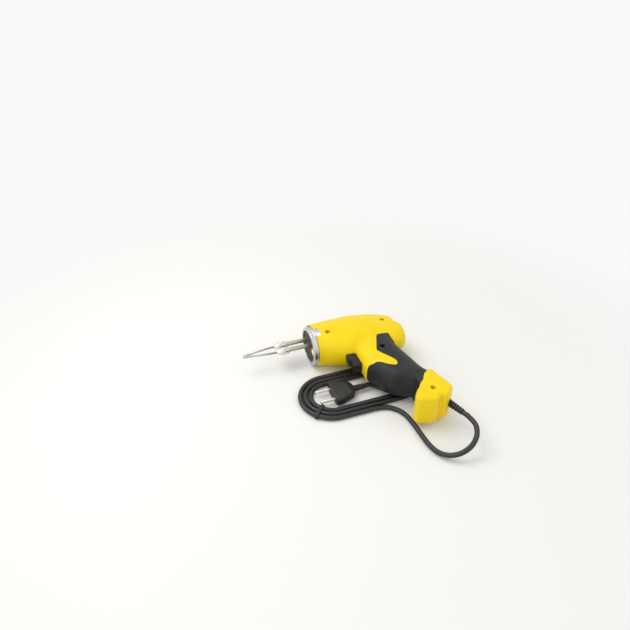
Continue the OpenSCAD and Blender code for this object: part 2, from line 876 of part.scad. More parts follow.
function wind(q) = let (w = q - floor(q), r = wind_r - wind_pitch * q,
                        a = w < left_turn ? -90 - 180 * w / left_turn
                            : w < upper_turn ? 90
                            : w < right_turn ? 90 - 180 * (w - upper_turn) / (right_turn - upper_turn)
                            : -90,
                        f = w < left_turn ? 0
                            : w < upper_turn ? (w - left_turn) / (upper_turn - left_turn)
                            : w < right_turn ? 1
                            : (1 - w) / (1 - right_turn),
                        m = bend_left + f * (bend_right - bend_left),
                        lift = w < left_turn
                            ? max(0, 1 - abs(a - tie_angle) / tie_spread) * (tie_t + gap) : 0)
    [m[0] + r * cos(a), m[1] + r * sin(a), cord_r + lift];

tie_t = 0.8;
tie_w = 4;
tie_angle = -135;
tie_spread = 40;

// The end of the wound cord, which rises to the plug inside the loops
plug_y = -75.6;
plug_x = 46.5;
tail_route = [
    [90.7, -92.5, 2.9], [84, -93.6, 2.9], [77.2, -92.5, 2.9], [71.6, -89.2, 2.9], [67.4, -84.7, 3],
    [63, -80, 3.7], [57.2, -76.9, 5.3]];

to_bench = [0, 0, -barrel_half_w];
hank_path = concat(
    [for (i = [0 : wind_rings - 1]) wind(wind_start + i / loop_rings)],
    curve(concat([wind(wind_end)], tail_route, [[plug_x + cord_d, plug_y, plug_t / 2]]), 2),
    [[plug_x, plug_y, plug_t / 2]]);
lead_start = relief_end - to_bench;
lead_finish = hank_path[0];
lead_way = unit(hank_path[1] - hank_path[0]);
lead_path = concat(
    [lead_start],
    curve(concat([lead_start + cord_d * relief_dir], lead_route,
                 [lead_finish - 1.2 * cord_d * lead_way]), 2),
    [lead_finish]);

// The least gap of the wound cord to itself, between its surfaces
self_gap = min([for (i = [0 : len(hank_path) - 1], j = [i + 12 : 1 : len(hank_path) - 1])
    norm(hank_path[i] - hank_path[j])]) - cord_d;
echo(least_gap = self_gap);
function path_length(p, i = 1) = i >= len(p) ? 0 : norm(p[i] - p[i - 1]) + path_length(p, i + 1);
echo(lead_length = path_length(lead_path), hank_length = path_length(hank_path));

module power_cord_lead() {
    color(black)
        to_base()
            translate(to_bench)
                tube(lead_path, cord_r, 8);
}

module power_cord_hank() {
    color(black)
        to_base()
            translate(to_bench)
                tube(hank_path, cord_r, 6);
}

// A flat band round the three strands of the left bend
module cord_tie() {
    q = (-90 - tie_angle) / 180 * left_turn;
    outer = wind_r - wind_pitch * q + cord_r + gap;
    inner = wind_r - wind_pitch * (q + 2) - cord_r - gap;
    high = cord_d + 2 * gap;
    color(black)
        to_base()
            translate(to_bench + [bend_left[0], bend_left[1], 0])
                rotate([0, 0, tie_angle])
                    difference() {
                        translate([inner - tie_t, -tie_w / 2, 0])
                            cube([outer - inner + 2 * tie_t, tie_w, high + 2 * tie_t]);
                        translate([inner, -tie_w / 2 - over, tie_t])
                            cube([outer - inner, tie_w + 2 * over, high]);
                    }
}

module to_plug() {
    to_base()
        translate(to_bench + [plug_x, plug_y, plug_t / 2])
            rotate([0, -90, 0])
                children();
}

// The plug's own strain relief, ribbed and tapered
module plug_relief() {
    ribs = 5;
    pitch = plug_relief_l / ribs;
    color(black)
        to_plug()
            union() {
                cylinder(r = cord_r + rib_root, h = plug_relief_l, $fn = 48);
                for (i = [0 : ribs - 1])
                    translate([0, 0, (i + 1 - rib_share) * pitch])
                        cylinder(r = relief_tip_r + (relief_r - relief_tip_r) * i / ribs,
                                 h = pitch * rib_share, $fn = 48);
            }
}

// Side outline of the plug's body: depth from its cord end and half width, as shares
flare_share = 0.25;
plug_shares = [[0, 0.20], [0.02, 0.26], [0.14, 0.34], [0.30, 0.37], [0.44, 0.42], [0.60, 0.48],
               [0.76, 0.50], [1, 0.50]];
module mains_plug() {
    color(black)
        to_plug()
            difference() {
                intersection() {
                    rotate([90, 0, 0])
                        linear_extrude(plug_w, center = true)
                            polygon([
                                [-plug_t / 2, plug_relief_l + plug_l * flare_share],
                                [-relief_r, plug_relief_l], [relief_r, plug_relief_l],
                                [plug_t / 2, plug_relief_l + plug_l * flare_share],
                                [plug_t / 2, plug_relief_l + plug_l],
                                [-plug_t / 2, plug_relief_l + plug_l]]);
                    rotate([90, 0, 90])
                        linear_extrude(plug_t + over, center = true)
                            polygon(concat(
                                [for (s = plug_shares) [plug_w * s[1], plug_relief_l + plug_l * s[0]]],
                                [for (i = [len(plug_shares) - 1 : -1 : 0]) let (s = plug_shares[i])
                                    [-plug_w * s[1], plug_relief_l + plug_l * s[0]]]));
                }
                for (side = [-1, 1])
                    translate([0, side * pin_gap / 2, plug_relief_l + plug_l - pin_root])
                        cylinder(r = pin_r + fit, h = pin_root + over, $fn = 32);
            }
}
pin_root = 8;

module plug_pins() {
    color(steel)
        to_plug()
            for (side = [-1, 1])
                translate([0, side * pin_gap / 2, plug_relief_l + plug_l - pin_root + gap]) {
                    cylinder(r = pin_r, h = pin_root + pin_l - gap - pin_r / 2, $fn = 32);
                    translate([0, 0, pin_root + pin_l - gap - pin_r / 2])
                        cylinder(r1 = pin_r, r2 = pin_r / 2, h = pin_r / 2, $fn = 32);
                }
}

// The sheath's end and the three wires inside the handle
wire_r = 0.9;
sheath_end = relief_seat - (clamp_set + clamp_l) * relief_dir;
wire_routes = [
    [sheath_end + [0, 0, -1.2], sheath_end + [-1, 3, -1.2], [101, -108, -1], [96, -90, 0],
     [92.5, -80, 0], [90, -76.4, 0], [89, -76.2, 0]],
    [sheath_end + [0, 0, 1.2], sheath_end + [-0.5, 4, 1.6], [103, -110, 4], [99, -90, 8], [95, -60, 10],
     [88, -30, 10], [84, -12, 9.6], [81, -6, 9.5], [79.4, -5.4, 9.5]],
    [[89, -68.9, 0], [91, -68, -1], [93.5, -58, -7], [90, -40, -10], [86, -20, -10],
     [82, -7.5, -9.5], [79.4, -5.6, -9.5]]];
module inner_wiring() {
    color("#3b6ea5")
        to_base()
            union() {
                translate(relief_seat - (relief_root + flange_t) * relief_dir)
                    rotate([-90, 0, relief_angle])
                        cylinder(r = cord_r, h = clamp_set + clamp_l - relief_root - flange_t, $fn = 32);
                for (r = wire_routes)
                    tube(curve(r, 2), wire_r, 6);
            }
}

left_housing();
right_housing();
left_grip();
right_grip();
nose_ring();
nose_insulator();
work_lamp();
lamp_socket();
transformer_core();
coil_bobbin();
primary_coil();
secondary_winding();
core_bracket();
upper_tip_nut();
lower_tip_nut();
soldering_tip();
trigger();
trigger_spring();
switch_carrier();
switch_body();
switch_plunger();
switch_terminals();
cord_clamp();
housing_screws();
inner_wiring();
cord_strain_relief();
power_cord_lead();
power_cord_hank();
cord_tie();
plug_relief();
mains_plug();
plug_pins();
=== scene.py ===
"""Instant-heat soldering iron: a pistol-shaped transformer iron, lying on its right side with its cord
wound beside it. Every new piece is a surface worked out with numpy in the design frame of the part's
source: millimetres, x from the nose ring's front face, y up from the barrel's axis, z from the parting
plane towards the left side. row() takes such points to the shared frame in metres."""
import math

import bpy
import numpy as np
from mathutils import Matrix


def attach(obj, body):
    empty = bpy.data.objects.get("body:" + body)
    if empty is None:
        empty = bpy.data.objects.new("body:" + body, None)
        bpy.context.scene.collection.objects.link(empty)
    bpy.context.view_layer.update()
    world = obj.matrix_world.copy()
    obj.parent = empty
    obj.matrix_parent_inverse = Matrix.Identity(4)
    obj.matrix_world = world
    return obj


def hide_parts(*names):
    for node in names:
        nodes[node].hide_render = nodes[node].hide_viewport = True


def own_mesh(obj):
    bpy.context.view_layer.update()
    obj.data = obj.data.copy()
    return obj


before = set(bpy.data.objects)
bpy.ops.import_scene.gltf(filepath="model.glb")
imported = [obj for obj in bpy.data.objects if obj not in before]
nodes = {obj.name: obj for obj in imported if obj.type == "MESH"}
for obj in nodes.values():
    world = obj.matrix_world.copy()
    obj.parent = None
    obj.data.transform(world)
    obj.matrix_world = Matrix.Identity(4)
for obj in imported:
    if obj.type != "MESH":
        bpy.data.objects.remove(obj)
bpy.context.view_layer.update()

MM = 0.001
BENCH = -26.5  # height of the surface that the iron lies on
BASE = np.array([22.0, -72.4128, BENCH])  # the design point at the shared frame's origin
# Barrel from nose to back and handle from axis to foot, then the barrel's height over its axis, its
# depth under it, half its thickness and half the handle's
BODY_LEN, HANDLE_DROP = 129.0, 162.0
SPINE, BELLY, BARREL_HALF, HANDLE_HALF = 31.0, 44.0, 26.5, 20.0


def row(points):
    """Design millimetres to metres in the shared frame: less the base's place, times a thousandth."""
    return (np.asarray(points, float) - BASE) * MM


def stand(thing, side, upright, back, place):
    """Puts a lamp or camera in the scene, turned to three axes, at a design point."""
    turn = np.eye(4)
    turn[:3, 0], turn[:3, 1], turn[:3, 2], turn[:3, 3] = side, upright, back, row(place)
    thing.matrix_world = Matrix(turn.tolist())
    bpy.context.scene.collection.objects.link(thing)


# Camera
# Solved from the photograph's own straight edges: place in mm, two axes, focal length in pixels
EYE = (-181.3, -532.7, 432.5)
FORWARD = np.array([0.27906, 0.77772, -0.56327])
RIGHT = np.array([0.93921, -0.34324, -0.00860])
FOCAL_PX, IMAGE_PX, SENSOR_MM = 546.0, 630.0, 36.0

camera_data = bpy.data.cameras.new("camera")
camera_data.sensor_width = SENSOR_MM
camera_data.lens = FOCAL_PX / IMAGE_PX * SENSOR_MM
camera_data.clip_start, camera_data.clip_end = 0.01, 20.0
camera = bpy.data.objects.new("camera", camera_data)
forward = FORWARD / np.linalg.norm(FORWARD)
right = RIGHT - forward * (RIGHT @ forward)
right /= np.linalg.norm(right)
stand(camera, right, np.cross(right, forward), -forward, EYE)
bpy.context.scene.camera = camera


# Materials
def linear(hex_colour):
    """An sRGB hex colour as linear red, green, blue and a full alpha."""
    part = np.array([int(hex_colour[i:i + 2], 16) for i in (1, 3, 5)]) / 255.0
    low, high = part / 12.92, ((part + 0.055) / 1.055) ** 2.4
    return tuple(np.where(part <= 0.04045, low, high)) + (1.0,)


def fill(tree, node, **given):
    """Fills in a node. A name that is one of its properties sets that. Any other is a socket's name,
    with underscores for its spaces, or a socket's number after an i, and takes a value, an output
    socket, or another node for that node's first output."""
    for key, value in given.items():
        if hasattr(node, key):
            setattr(node, key, value)
            continue
        numbered = key[0] == "i" and key[1:].isdigit()
        socket = node.inputs[int(key[1:]) if numbered else key.replace("_", " ")]
        value = value.outputs[0] if isinstance(value, bpy.types.Node) else value
        if isinstance(value, bpy.types.NodeSocket):
            tree.links.new(value, socket)
        else:
            socket.default_value = value


def add(tree, kind, stops=(), **given):
    """Adds one node and fills it in. stops are the places and hex colours of a colour ramp."""
    made = tree.nodes.new("ShaderNode" + kind)
    while len(stops) > 2 and len(made.color_ramp.elements) < len(stops):
        made.color_ramp.elements.new(0.5)
    for number, (place, colour) in enumerate(stops):
        stop = made.color_ramp.elements[number]
        stop.position, stop.color = place, linear(colour)
    fill(tree, made, **given)
    return made


def blotches(tree, size_mm, detail=2.0, rough=0.5, stretch=(1, 1, 1)):
    """A 0 to 1 pattern on Object coordinates: blotches about size_mm across, drawn out by stretch."""
    place = add(tree, "TexCoord").outputs["Object"]
    mapped = add(tree, "Mapping", Vector=place, Scale=tuple(stretch))
    return add(tree, "TexNoise", Vector=mapped, Scale=1000.0 / size_mm, Detail=detail, Roughness=rough)


def plain(name, **given):
    """A named material, its node tree, and its Principled shader filled in."""
    material = bpy.data.materials.new(name)
    material.use_nodes = True
    tree = material.node_tree
    shader = tree.nodes["Principled BSDF"]
    fill(tree, shader, **given)
    return material, tree, shader


def patterned(name, tone, stops, worn, rough, raised, depth_mm, **given):
    """A material with three patterns, each the size and character of its blotches: tone picks the
    colour through stops, worn the roughness between two values, and raised lifts the surface by up
    to depth_mm."""
    material, tree, shader = plain(name, **given)
    colour = add(tree, "ValToRGB", stops, Fac=blotches(tree, *tone))
    gloss = add(tree, "MapRange", Value=blotches(tree, *worn), To_Min=rough[0], To_Max=rough[1])
    relief = add(tree, "Bump", Height=blotches(tree, *raised), Distance=depth_mm * MM, Strength=1.0)
    fill(tree, shader, Base_Color=colour, Roughness=gloss, Normal=relief)
    return material


# Moulded plastics: typical index, the gloss that the object shows, the thin coat's roughness, and the
# width in mm of the drift of tone and of the rubbed patches
PLASTIC_IOR, PLASTIC_GLOSS, COAT_ROUGH = 1.52, 0.28, 0.25
DRIFT_MM, RUBBED_MM = 22.0, 5.0


def moulded_abs(name, dark, mid, light, roughness, grain_mm, depth_mm, coat=0.0):
    """ABS or polyamide from a mould: a broad drift of tone, a fine even grain and uneven gloss."""
    return patterned(name, (DRIFT_MM, 3.0, 0.6), [(0.30, dark), (0.5, mid), (0.72, light)],
                     (RUBBED_MM, 4.0, 0.65), (roughness - 0.07, roughness + 0.09),
                     (grain_mm, 2.0, 0.6), depth_mm, IOR=PLASTIC_IOR, Coat_Weight=coat,
                     Coat_Roughness=COAT_ROUGH, Specular_IOR_Level=PLASTIC_GLOSS)


# glossy yellow ABS: bright, with the faint orange peel of a polished mould
yellow_abs = moulded_abs("yellow_moulded_abs", "#F6D200", "#F9D802", "#FADB05", 0.40, 0.9, 0.012, 0.04)
# black ABS with a soft spark-eroded texture, which gives wide dull highlights
grip_abs = moulded_abs("black_textured_abs", "#1B1C1E", "#242527", "#2D2E31", 0.50, 0.45, 0.03)
# plain black polyamide of the trigger, a little smoother than the grip
black_nylon = moulded_abs("black_nylon", "#18191A", "#202123", "#2A2B2D", 0.42, 0.6, 0.01)
# the lamp's holder and the switch's frame, the coil's former, the switch's button, a wire's cover
dark_nylon = moulded_abs("grey_nylon", "#2A2B2D", "#333538", "#3C3E41", 0.48, 0.6, 0.01)
cream_nylon = moulded_abs("cream_nylon", "#CFC5A6", "#DAD1B4", "#E2DAC2", 0.45, 0.6, 0.01)
red_nylon = moulded_abs("red_nylon", "#9A1B16", "#A8211B", "#B32A22", 0.40, 0.6, 0.01)
blue_pvc = moulded_abs("blue_wire_pvc", "#27508A", "#2D5A9A", "#3565A6", 0.42, 0.8, 0.005)


def soft_pvc(name, dark, mid, roughness):
    """Extruded plasticised PVC: nearly even colour, satin, with faint drag marks and dust in them."""
    return patterned(name, (9.0, 5.0, 0.7), [(0.35, dark), (0.75, mid)], (3.0, 3.0),
                     (roughness - 0.05, roughness + 0.12), (1.2, 2.0), 0.015, IOR=1.53)


cord_pvc = soft_pvc("black_cord_pvc", "#161617", "#242426", 0.38)
boot_pvc = soft_pvc("black_boot_pvc", "#141415", "#1F2021", 0.46)


def plated(name, base, tint, roughness, grain_mm, stretch, depth_mm):
    """Plated or bare metal: the plate's colour drifts towards a duller tint, and tool or draw marks,
    stretched along one way, change both its gloss and its relief."""
    marks = (grain_mm, 3.0, 0.6, stretch)
    return patterned(name, (6.0, 5.0, 0.65), [(0.38, base), (0.78, tint)], marks,
                     (roughness - 0.06, roughness + 0.12), marks, depth_mm, Metallic=1.0)


# turned and polished aluminium: cutting marks run round it, so the marks are stretched off its axis
turned_ring = plated("turned_aluminium", "#D2D3D4", "#B4B5B7", 0.24, 0.5, (2.2, 0.12, 0.12), 0.008)
# nickel plate on brass collet nuts: warm white, nearly a mirror with small scuffs
nickel_nut = plated("nickel_plated_brass", "#E4E0D8", "#C4BFB4", 0.20, 0.8, (1, 1, 1), 0.006)
# drawn copper rod, tinned: grey with a warm cast, drawn lengthways
tinned_rod = plated("tinned_copper_rod", "#C9C4BC", "#A39A8E", 0.30, 0.5, (0.12, 1.6, 1.6), 0.008)
# zinc plate, bare lamination edges, varnished winding wire and stamped brass, all inside or small
zinc_steel = plated("zinc_plated_steel", "#B9BABA", "#8F9091", 0.34, 0.7, (1, 1, 1), 0.006)
core_steel = plated("lamination_steel", "#6C6F72", "#4C4E51", 0.42, 0.5, (6, 0.3, 0.3), 0.03)
copper_wire = plated("enamelled_copper", "#9A5427", "#7C3F1C", 0.30, 0.4, (1, 1, 5), 0.05)
brass_blade = plated("brass_blade", "#C9A85C", "#A5853F", 0.32, 0.6, (1, 1, 1), 0.005)
# phenolic paper board: near black brown, matt, with a faint fibre that shows in everything
FIBRE = (1.5, 5.0, 0.7, (1, 1, 6))
phenolic = patterned("phenolic_board", FIBRE, [(0.3, "#141210"), (0.7, "#2B2622")], FIBRE,
                     (0.45, 0.65), FIBRE, 0.01, IOR=1.55)
# pressed glass over a warm filament lamp: yellow amber, clear, with slight pressing ripples, and a
# faint painted glow on the lens although the lamp is off
amber_lens = patterned("amber_lens", (4.0, 2.0), [(0.3, "#EFC25E"), (0.7, "#FFE3A0")], (1.5, 2.0),
                       (0.08, 0.2), (1.8, 2.0), 0.03, IOR=1.5, Transmission_Weight=0.35,
                       Emission_Strength=0.25, Emission_Color=linear("#FFD67A"))
# Solder covers the tip ahead of the first place and none of it past the second. The line between
# them wanders by up to so many mm
WET_X, DRY_X, RAGGED_MM = -66.0, -50.0, 6.0


def tip_metal():
    """Copper wire whose working end is wetted with solder: bright grey solder in front, bare copper
    darkened by heat behind, with a ragged line between them that follows the distance along x."""
    material = patterned("tinned_copper_tip", (1.6, 4.0, 0.6), [(0.35, "#A9A9A8"), (0.7, "#D6D6D3")],
                         (2.0, 3.0), (0.24, 0.46), (1.1, 3.0), 0.04, Metallic=1.0)
    tree = material.node_tree
    base_colour = tree.nodes["Principled BSDF"].inputs["Base Color"]
    solder = base_colour.links[0].from_socket
    along = add(tree, "SeparateXYZ", Vector=add(tree, "TexCoord").outputs["Object"])
    ragged = add(tree, "MapRange", Value=blotches(tree, 3.0, 4.0, 0.7), To_Min=-RAGGED_MM * MM,
                 To_Max=RAGGED_MM * MM)
    dry = add(tree, "MapRange", Value=add(tree, "Math", operation="ADD", i0=along, i1=ragged),
              From_Min=row([WET_X, 0, 0])[0], From_Max=row([DRY_X, 0, 0])[0])
    heat = add(tree, "ValToRGB", [(0.3, "#8A7D70"), (0.55, "#A19587"), (0.8, "#B7AC9C")],
               Fac=blotches(tree, 4.0, 5.0, 0.7))
    mixed = add(tree, "Mix", data_type="RGBA", i0=dry, i6=solder, i7=heat)
    tree.links.new(mixed.outputs[2], base_colour)
    return material


tip_tin = tip_metal()


# Mesh helpers
def build(name, points, faces, material, smooth_deg=32.0):
    """One mesh object from design points and faces, smooth but for edges sharper than smooth_deg."""
    mesh = bpy.data.meshes.new(name)
    mesh.from_pydata(row(points).tolist(), [], [tuple(int(i) for i in f) for f in faces])
    mesh.polygons.foreach_set("use_smooth", np.ones(len(mesh.polygons), bool))
    mesh.set_sharp_from_angle(angle=math.radians(smooth_deg))
    mesh.materials.append(material)
    made = bpy.data.objects.new(name, mesh)
    bpy.context.scene.collection.objects.link(made)
    return made


def quads(rows, columns, closed):
    """Faces of a grid whose columns close on themselves, and whose rows do too when closed."""
    last = rows if closed else rows - 1
    i, k = np.meshgrid(np.arange(last), np.arange(columns), indexing="ij")
    j, m = (i + 1) % rows, (k + 1) % columns
    corners = [i * columns + k, i * columns + m, j * columns + m, j * columns + k]
    return np.stack(corners, -1).reshape(-1, 4).tolist()


def skin(grid, closed=False):
    """Points and faces of a stack of rings: a tube whose ends are capped, or a ring of rings."""
    rows, columns = grid.shape[:2]
    faces = quads(rows, columns, closed)
    if not closed:
        faces.append(list(range(columns))[::-1])
        faces.append(list(range((rows - 1) * columns, rows * columns)))
    return grid.reshape(-1, 3), faces


def join(*parts):
    """Several lots of points and faces as one."""
    points, faces, start = [], [], 0
    for some, these in parts:
        points.append(some)
        faces += [[start + i for i in f] for f in these]
        start += len(some)
    return np.concatenate(points), faces


def cubic(t, a, b, u, v):
    """The cubic that goes from a to b while t goes from 0 to 1, with the slopes u and v there."""
    return ((2 * t ** 3 - 3 * t ** 2 + 1) * a + (t ** 3 - 2 * t ** 2 + t) * u
            + (3 * t ** 2 - 2 * t ** 3) * b + (t ** 3 - t ** 2) * v)


def spread(table, count):
    """Rows of a table carried onto an even spread of its first column by cubics through them. Each
    row's slope comes from its two neighbours, and no column leaves its least and greatest value."""
    table = np.asarray(table, float)
    x = table[:, 0]
    slope = np.gradient(table, x, axis=0)
    at = np.linspace(x[0], x[-1], count)
    i = np.clip(np.searchsorted(x, at) - 1, 0, len(x) - 2)
    h = (x[i + 1] - x[i])[:, None]
    t = (at - x[i])[:, None] / h
    smooth = cubic(t, table[i], table[i + 1], h * slope[i], h * slope[i + 1])
    return np.clip(smooth, table.min(0), table.max(0))


def curve(points, steps):
    """A path through points in so many steps a stretch, by cubics whose slope at a point is half the
    chord between its neighbours."""
    points = np.asarray(points, float)
    before = np.concatenate([points[:1], points[:-1]])
    after = np.concatenate([points[1:], points[-1:]])
    slope = (after - before) / 2
    t = (np.arange(steps) / steps)[None, :, None]
    path = cubic(t, points[:-1, None], points[1:, None], slope[:-1, None], slope[1:, None])
    return np.concatenate([path.reshape(-1, points.shape[1]), points[-1:]])


def unit(v):
    """A vector, or each row of many, over its length."""
    return v / np.linalg.norm(v, axis=-1, keepdims=True)


def tube(path, radius, sides, flat=None):
    """A ring of radius round each point of a path, square to the path there, in a frame that keeps
    one side level. flat is a second radius for the upright direction."""
    path = np.asarray(path, float)
    along = unit(np.concatenate([path[1:2] - path[:1], path[2:] - path[:-2], path[-1:] - path[-2:-1]]))
    side = unit(np.cross(along, [0.0, 0.0, 1.0]))
    over = np.cross(along, side)
    turn_at = np.linspace(0, 2 * np.pi, sides, endpoint=False) - np.pi / 2
    r = np.broadcast_to(np.asarray(radius, float), len(path))[:, None, None]
    tall = r if flat is None else np.asarray(flat, float)[:, None, None]
    return (path[:, None] + r * np.cos(turn_at)[None, :, None] * side[:, None]
            + tall * np.sin(turn_at)[None, :, None] * over[:, None])


def revolve(profile, origin, axis, count, closed=False):
    """A profile of distance along an axis and radius, turned about that axis through origin. Its two
    ends are capped, or joined when closed."""
    profile = np.asarray(profile, float)
    axis = unit(np.asarray(axis, float))
    upright = abs(axis[2]) > 0.9
    side = unit(np.cross([0.0, 1.0, 0.0], axis) if upright else np.cross(axis, [0.0, 0.0, 1.0]))
    over = np.cross(axis, side)
    a = np.linspace(0, 2 * np.pi, count, endpoint=False)
    ring = np.cos(a)[:, None] * side + np.sin(a)[:, None] * over
    return skin(np.asarray(origin, float) + profile[:, 0, None, None] * axis
                + profile[:, 1, None, None] * ring[None], closed)


def rounded(profile, radius, steps):
    """A profile whose corners are cut back by radius, or a third of the shorter side, and curved."""
    profile = np.asarray(profile, float)
    out = [profile[:1]]
    for before, corner, after in zip(profile[:-2], profile[1:-1], profile[2:]):
        a, b = before - corner, after - corner
        reach = min(radius, np.linalg.norm(a) / 3, np.linalg.norm(b) / 3)
        start, end = corner + unit(a) * reach, corner + unit(b) * reach
        t = np.linspace(0, 1, steps + 1)[:, None]
        out.append((1 - t) ** 2 * start + 2 * t * (1 - t) * corner + t ** 2 * end)
    out.append(profile[-1:])
    return np.concatenate(out)


def superellipse(a, b, power, count):
    """Points of |u/a|^power + |v/b|^power = 1 at even steps of angle."""
    t = np.linspace(0, 2 * np.pi, count, endpoint=False)
    c, s = np.cos(t), np.sin(t)
    return (np.asarray(a)[..., None] * np.sign(c) * np.abs(c) ** (2 / power),
            np.asarray(b)[..., None] * np.sign(s) * np.abs(s) ** (2 / power))


def block(low, high):
    """A box between two corners, as a stack of two rings."""
    (x0, y0, z0), (x1, y1, z1) = low, high
    ring = [[x0, y0], [x1, y0], [x1, y1], [x0, y1]]
    return skin(np.array([[[*p, z] for p in ring] for z in (z0, z1)], float))


# Cord
# The route of the part's source, with heights over the bench: from the boot's end to the winding, and
# from the winding to the plug
CORD_R, CORD_D = 2.9, 5.8
RELIEF_SEAT, RELIEF_TILT, RELIEF_LEN = np.array([114.552, -154.71, 0.0]), math.radians(18), 21.0
RELIEF_WAY = np.array([math.sin(RELIEF_TILT), -math.cos(RELIEF_TILT), 0.0])
TO_BENCH = np.array([0.0, 0.0, BENCH])
PLUG_X, PLUG_Y, PLUG_T = 46.5, -75.6, 13.7
LEAD_ROUTE = [
    [124.3, -193.9, 25], [119.1, -205.1, 21.5], [108.9, -212.3, 16.5], [96.5, -213.3, 11],
    [85.3, -208.1, 6.5], [78.1, -197.9, 3.8], [75, -184, 2.9], [74.4, -167, 2.9],
    [74.2, -150, 2.9], [72.3, -134, 2.9], [66.6, -122.9, 2.9], [56.5, -115.2, 2.9]]
TAIL_ROUTE = [
    [90.7, -92.5, 2.9], [84, -93.6, 2.9], [77.2, -92.5, 2.9], [71.6, -89.2, 2.9], [67.4, -84.7, 3],
    [63, -80, 3.7], [57.2, -76.9, 5.3]]
# Centres of the winding's two bends, then its outer radius, the step inwards of each loop, its start
# in loops, its rings and the rings of a loop. The tie: thickness, gap, angle, reach and width
BEND_LEFT, BEND_RIGHT = np.array([2.0, -74.0]), np.array([84.0, -74.0])
WIND_R, WIND_PITCH, WIND_START, WIND_RINGS, LOOP_RINGS = 38.0, 6.5, -0.07, 68, 24
TIE_T, TIE_GAP, TIE_ANGLE, TIE_SPREAD, TIE_W = 0.8, 0.3, -135.0, 40.0, 4.0
# Steps for each ring of the source's winding and each stretch of its routes, sides of the cord, and
# how many diameters ahead of the winding the lead comes level with it
FINER, ROUTE_STEPS, CORD_SIDES, RUN_IN = 3, 6, 16, 1.2


def wind(q):
    """The hank's middle after q loops: a stadium of two bends and two straight runs whose radius
    shrinks steadily, lifted over the tie's thickness where the tie goes round it."""
    w, r = q - np.floor(q), WIND_R - WIND_PITCH * q
    knots = [0, 1 / 3, 1 / 2, 5 / 6, 1]
    a = np.interp(w, knots, [-90, -270, -270, -450, -450])
    across = np.interp(w, knots, [0, 0, 1, 1, 0])
    middle = BEND_LEFT + across[:, None] * (BEND_RIGHT - BEND_LEFT)
    near = np.clip(1 - np.abs(a - TIE_ANGLE) / TIE_SPREAD, 0, 1) * (w < 1 / 3)
    angle = np.radians(a)
    return np.stack([middle[:, 0] + r * np.cos(angle), middle[:, 1] + r * np.sin(angle),
                     CORD_R + near * (TIE_T + TIE_GAP)], 1)


loops = wind(WIND_START + np.arange(WIND_RINGS * FINER) / (LOOP_RINGS * FINER))
wind_end = wind(np.array([WIND_START + WIND_RINGS / LOOP_RINGS]))
plug_in = np.array([[PLUG_X + CORD_D, PLUG_Y, PLUG_T / 2], [PLUG_X, PLUG_Y, PLUG_T / 2]])
hank_path = np.concatenate([loops, curve(np.concatenate([wind_end, TAIL_ROUTE, plug_in[:1]]),
                                         ROUTE_STEPS), plug_in[1:]]) + TO_BENCH
coarse = wind(WIND_START + np.arange(2) / LOOP_RINGS)
lead_way = unit(coarse[1] - coarse[0])
lead_start = RELIEF_SEAT + RELIEF_LEN * RELIEF_WAY - TO_BENCH
lead_path = np.concatenate([[lead_start], curve(np.concatenate([
    [lead_start + CORD_D * RELIEF_WAY], LEAD_ROUTE, [coarse[0] - RUN_IN * CORD_D * lead_way]]),
    ROUTE_STEPS), coarse[:1]]) + TO_BENCH


cord_path = np.concatenate([lead_path, hank_path[1:]])
cord = build("mains_cord", *skin(tube(cord_path, CORD_R, CORD_SIDES)), cord_pvc)


# Housing
# Barrel and tail: shares of body length, spine height, belly depth and half thickness. Handle: share of
# its drop, front and back as shares of body length, share of half thickness. Foot and grip panel:
# outlines in shares of body length and handle drop. Screws: the same, and a share of the barrel's half.
BARREL = [[0.030, 0.85, 0.57, 0.965], [0.085, 0.88, 0.64, 0.975], [0.17, 0.95, 0.80, 0.99],
          [0.30, 1.00, 0.955, 1.0], [0.42, 1.00, 0.98, 1.0], [0.52, 0.985, 0.98, 0.97],
          [0.62, 0.95, 0.96, 0.92], [0.72, 0.88, 0.92, 0.85], [0.81, 0.77, 0.86, 0.76],
          [0.89, 0.62, 0.78, 0.68], [0.945, 0.45, 0.68, 0.58]]
TAIL = [[0.79, 0.36, 1.0, 0.69], [0.90, 0.22, 0.92, 0.62], [0.965, 0.02, 0.72, 0.52],
        [1.0, -0.18, 0.42, 0.34]]
HANDLE = [[0.10, 0.42, 0.76, 0.86], [0.20, 0.395, 0.79, 0.98], [0.28, 0.37, 0.785, 1.0],
          [0.37, 0.365, 0.80, 1.0], [0.475, 0.37, 0.825, 1.0], [0.54, 0.435, 0.835, 1.0],
          [0.61, 0.46, 0.85, 1.0], [0.665, 0.52, 0.865, 1.0], [0.70, 0.61, 0.88, 0.995],
          [0.76, 0.69, 0.895, 0.97], [0.82, 0.70, 0.90, 0.93]]
FOOT = [[0.70, -0.73], [0.685, -0.80], [0.665, -0.835], [0.625, -0.86], [0.58, -0.905],
        [0.572, -0.945], [0.60, -0.972], [0.69, -1.0], [0.74, -1.0], [0.775, -0.975],
        [0.80, -0.975], [0.825, -0.992], [0.86, -0.98], [0.93, -0.93], [0.94, -0.90],
        [0.925, -0.83], [0.90, -0.77], [0.872, -0.70]]
PANEL = [[0.625, -0.205], [0.665, -0.190], [0.72, -0.183], [0.765, -0.183], [0.782, -0.215],
         [0.793, -0.25], [0.83, -0.30], [0.95, -0.36], [0.95, -0.655], [0.865, -0.698],
         [0.79, -0.735], [0.755, -0.765], [0.73, -0.795], [0.675, -0.822], [0.60, -0.826],
         [0.35, -0.80], [0.35, -0.50], [0.44, -0.49], [0.458, -0.49], [0.50, -0.512],
         [0.54, -0.548], [0.59, -0.580], [0.615, -0.575], [0.628, -0.55], [0.62, -0.515],
         [0.57, -0.445], [0.535, -0.393], [0.530, -0.367], [0.568, -0.30]]
SCREWS = [[0.172, -0.068, 0.90], [0.79, -0.03, 0.70], [0.605, -0.345, 0.755], [0.755, -0.895, 0.755]]
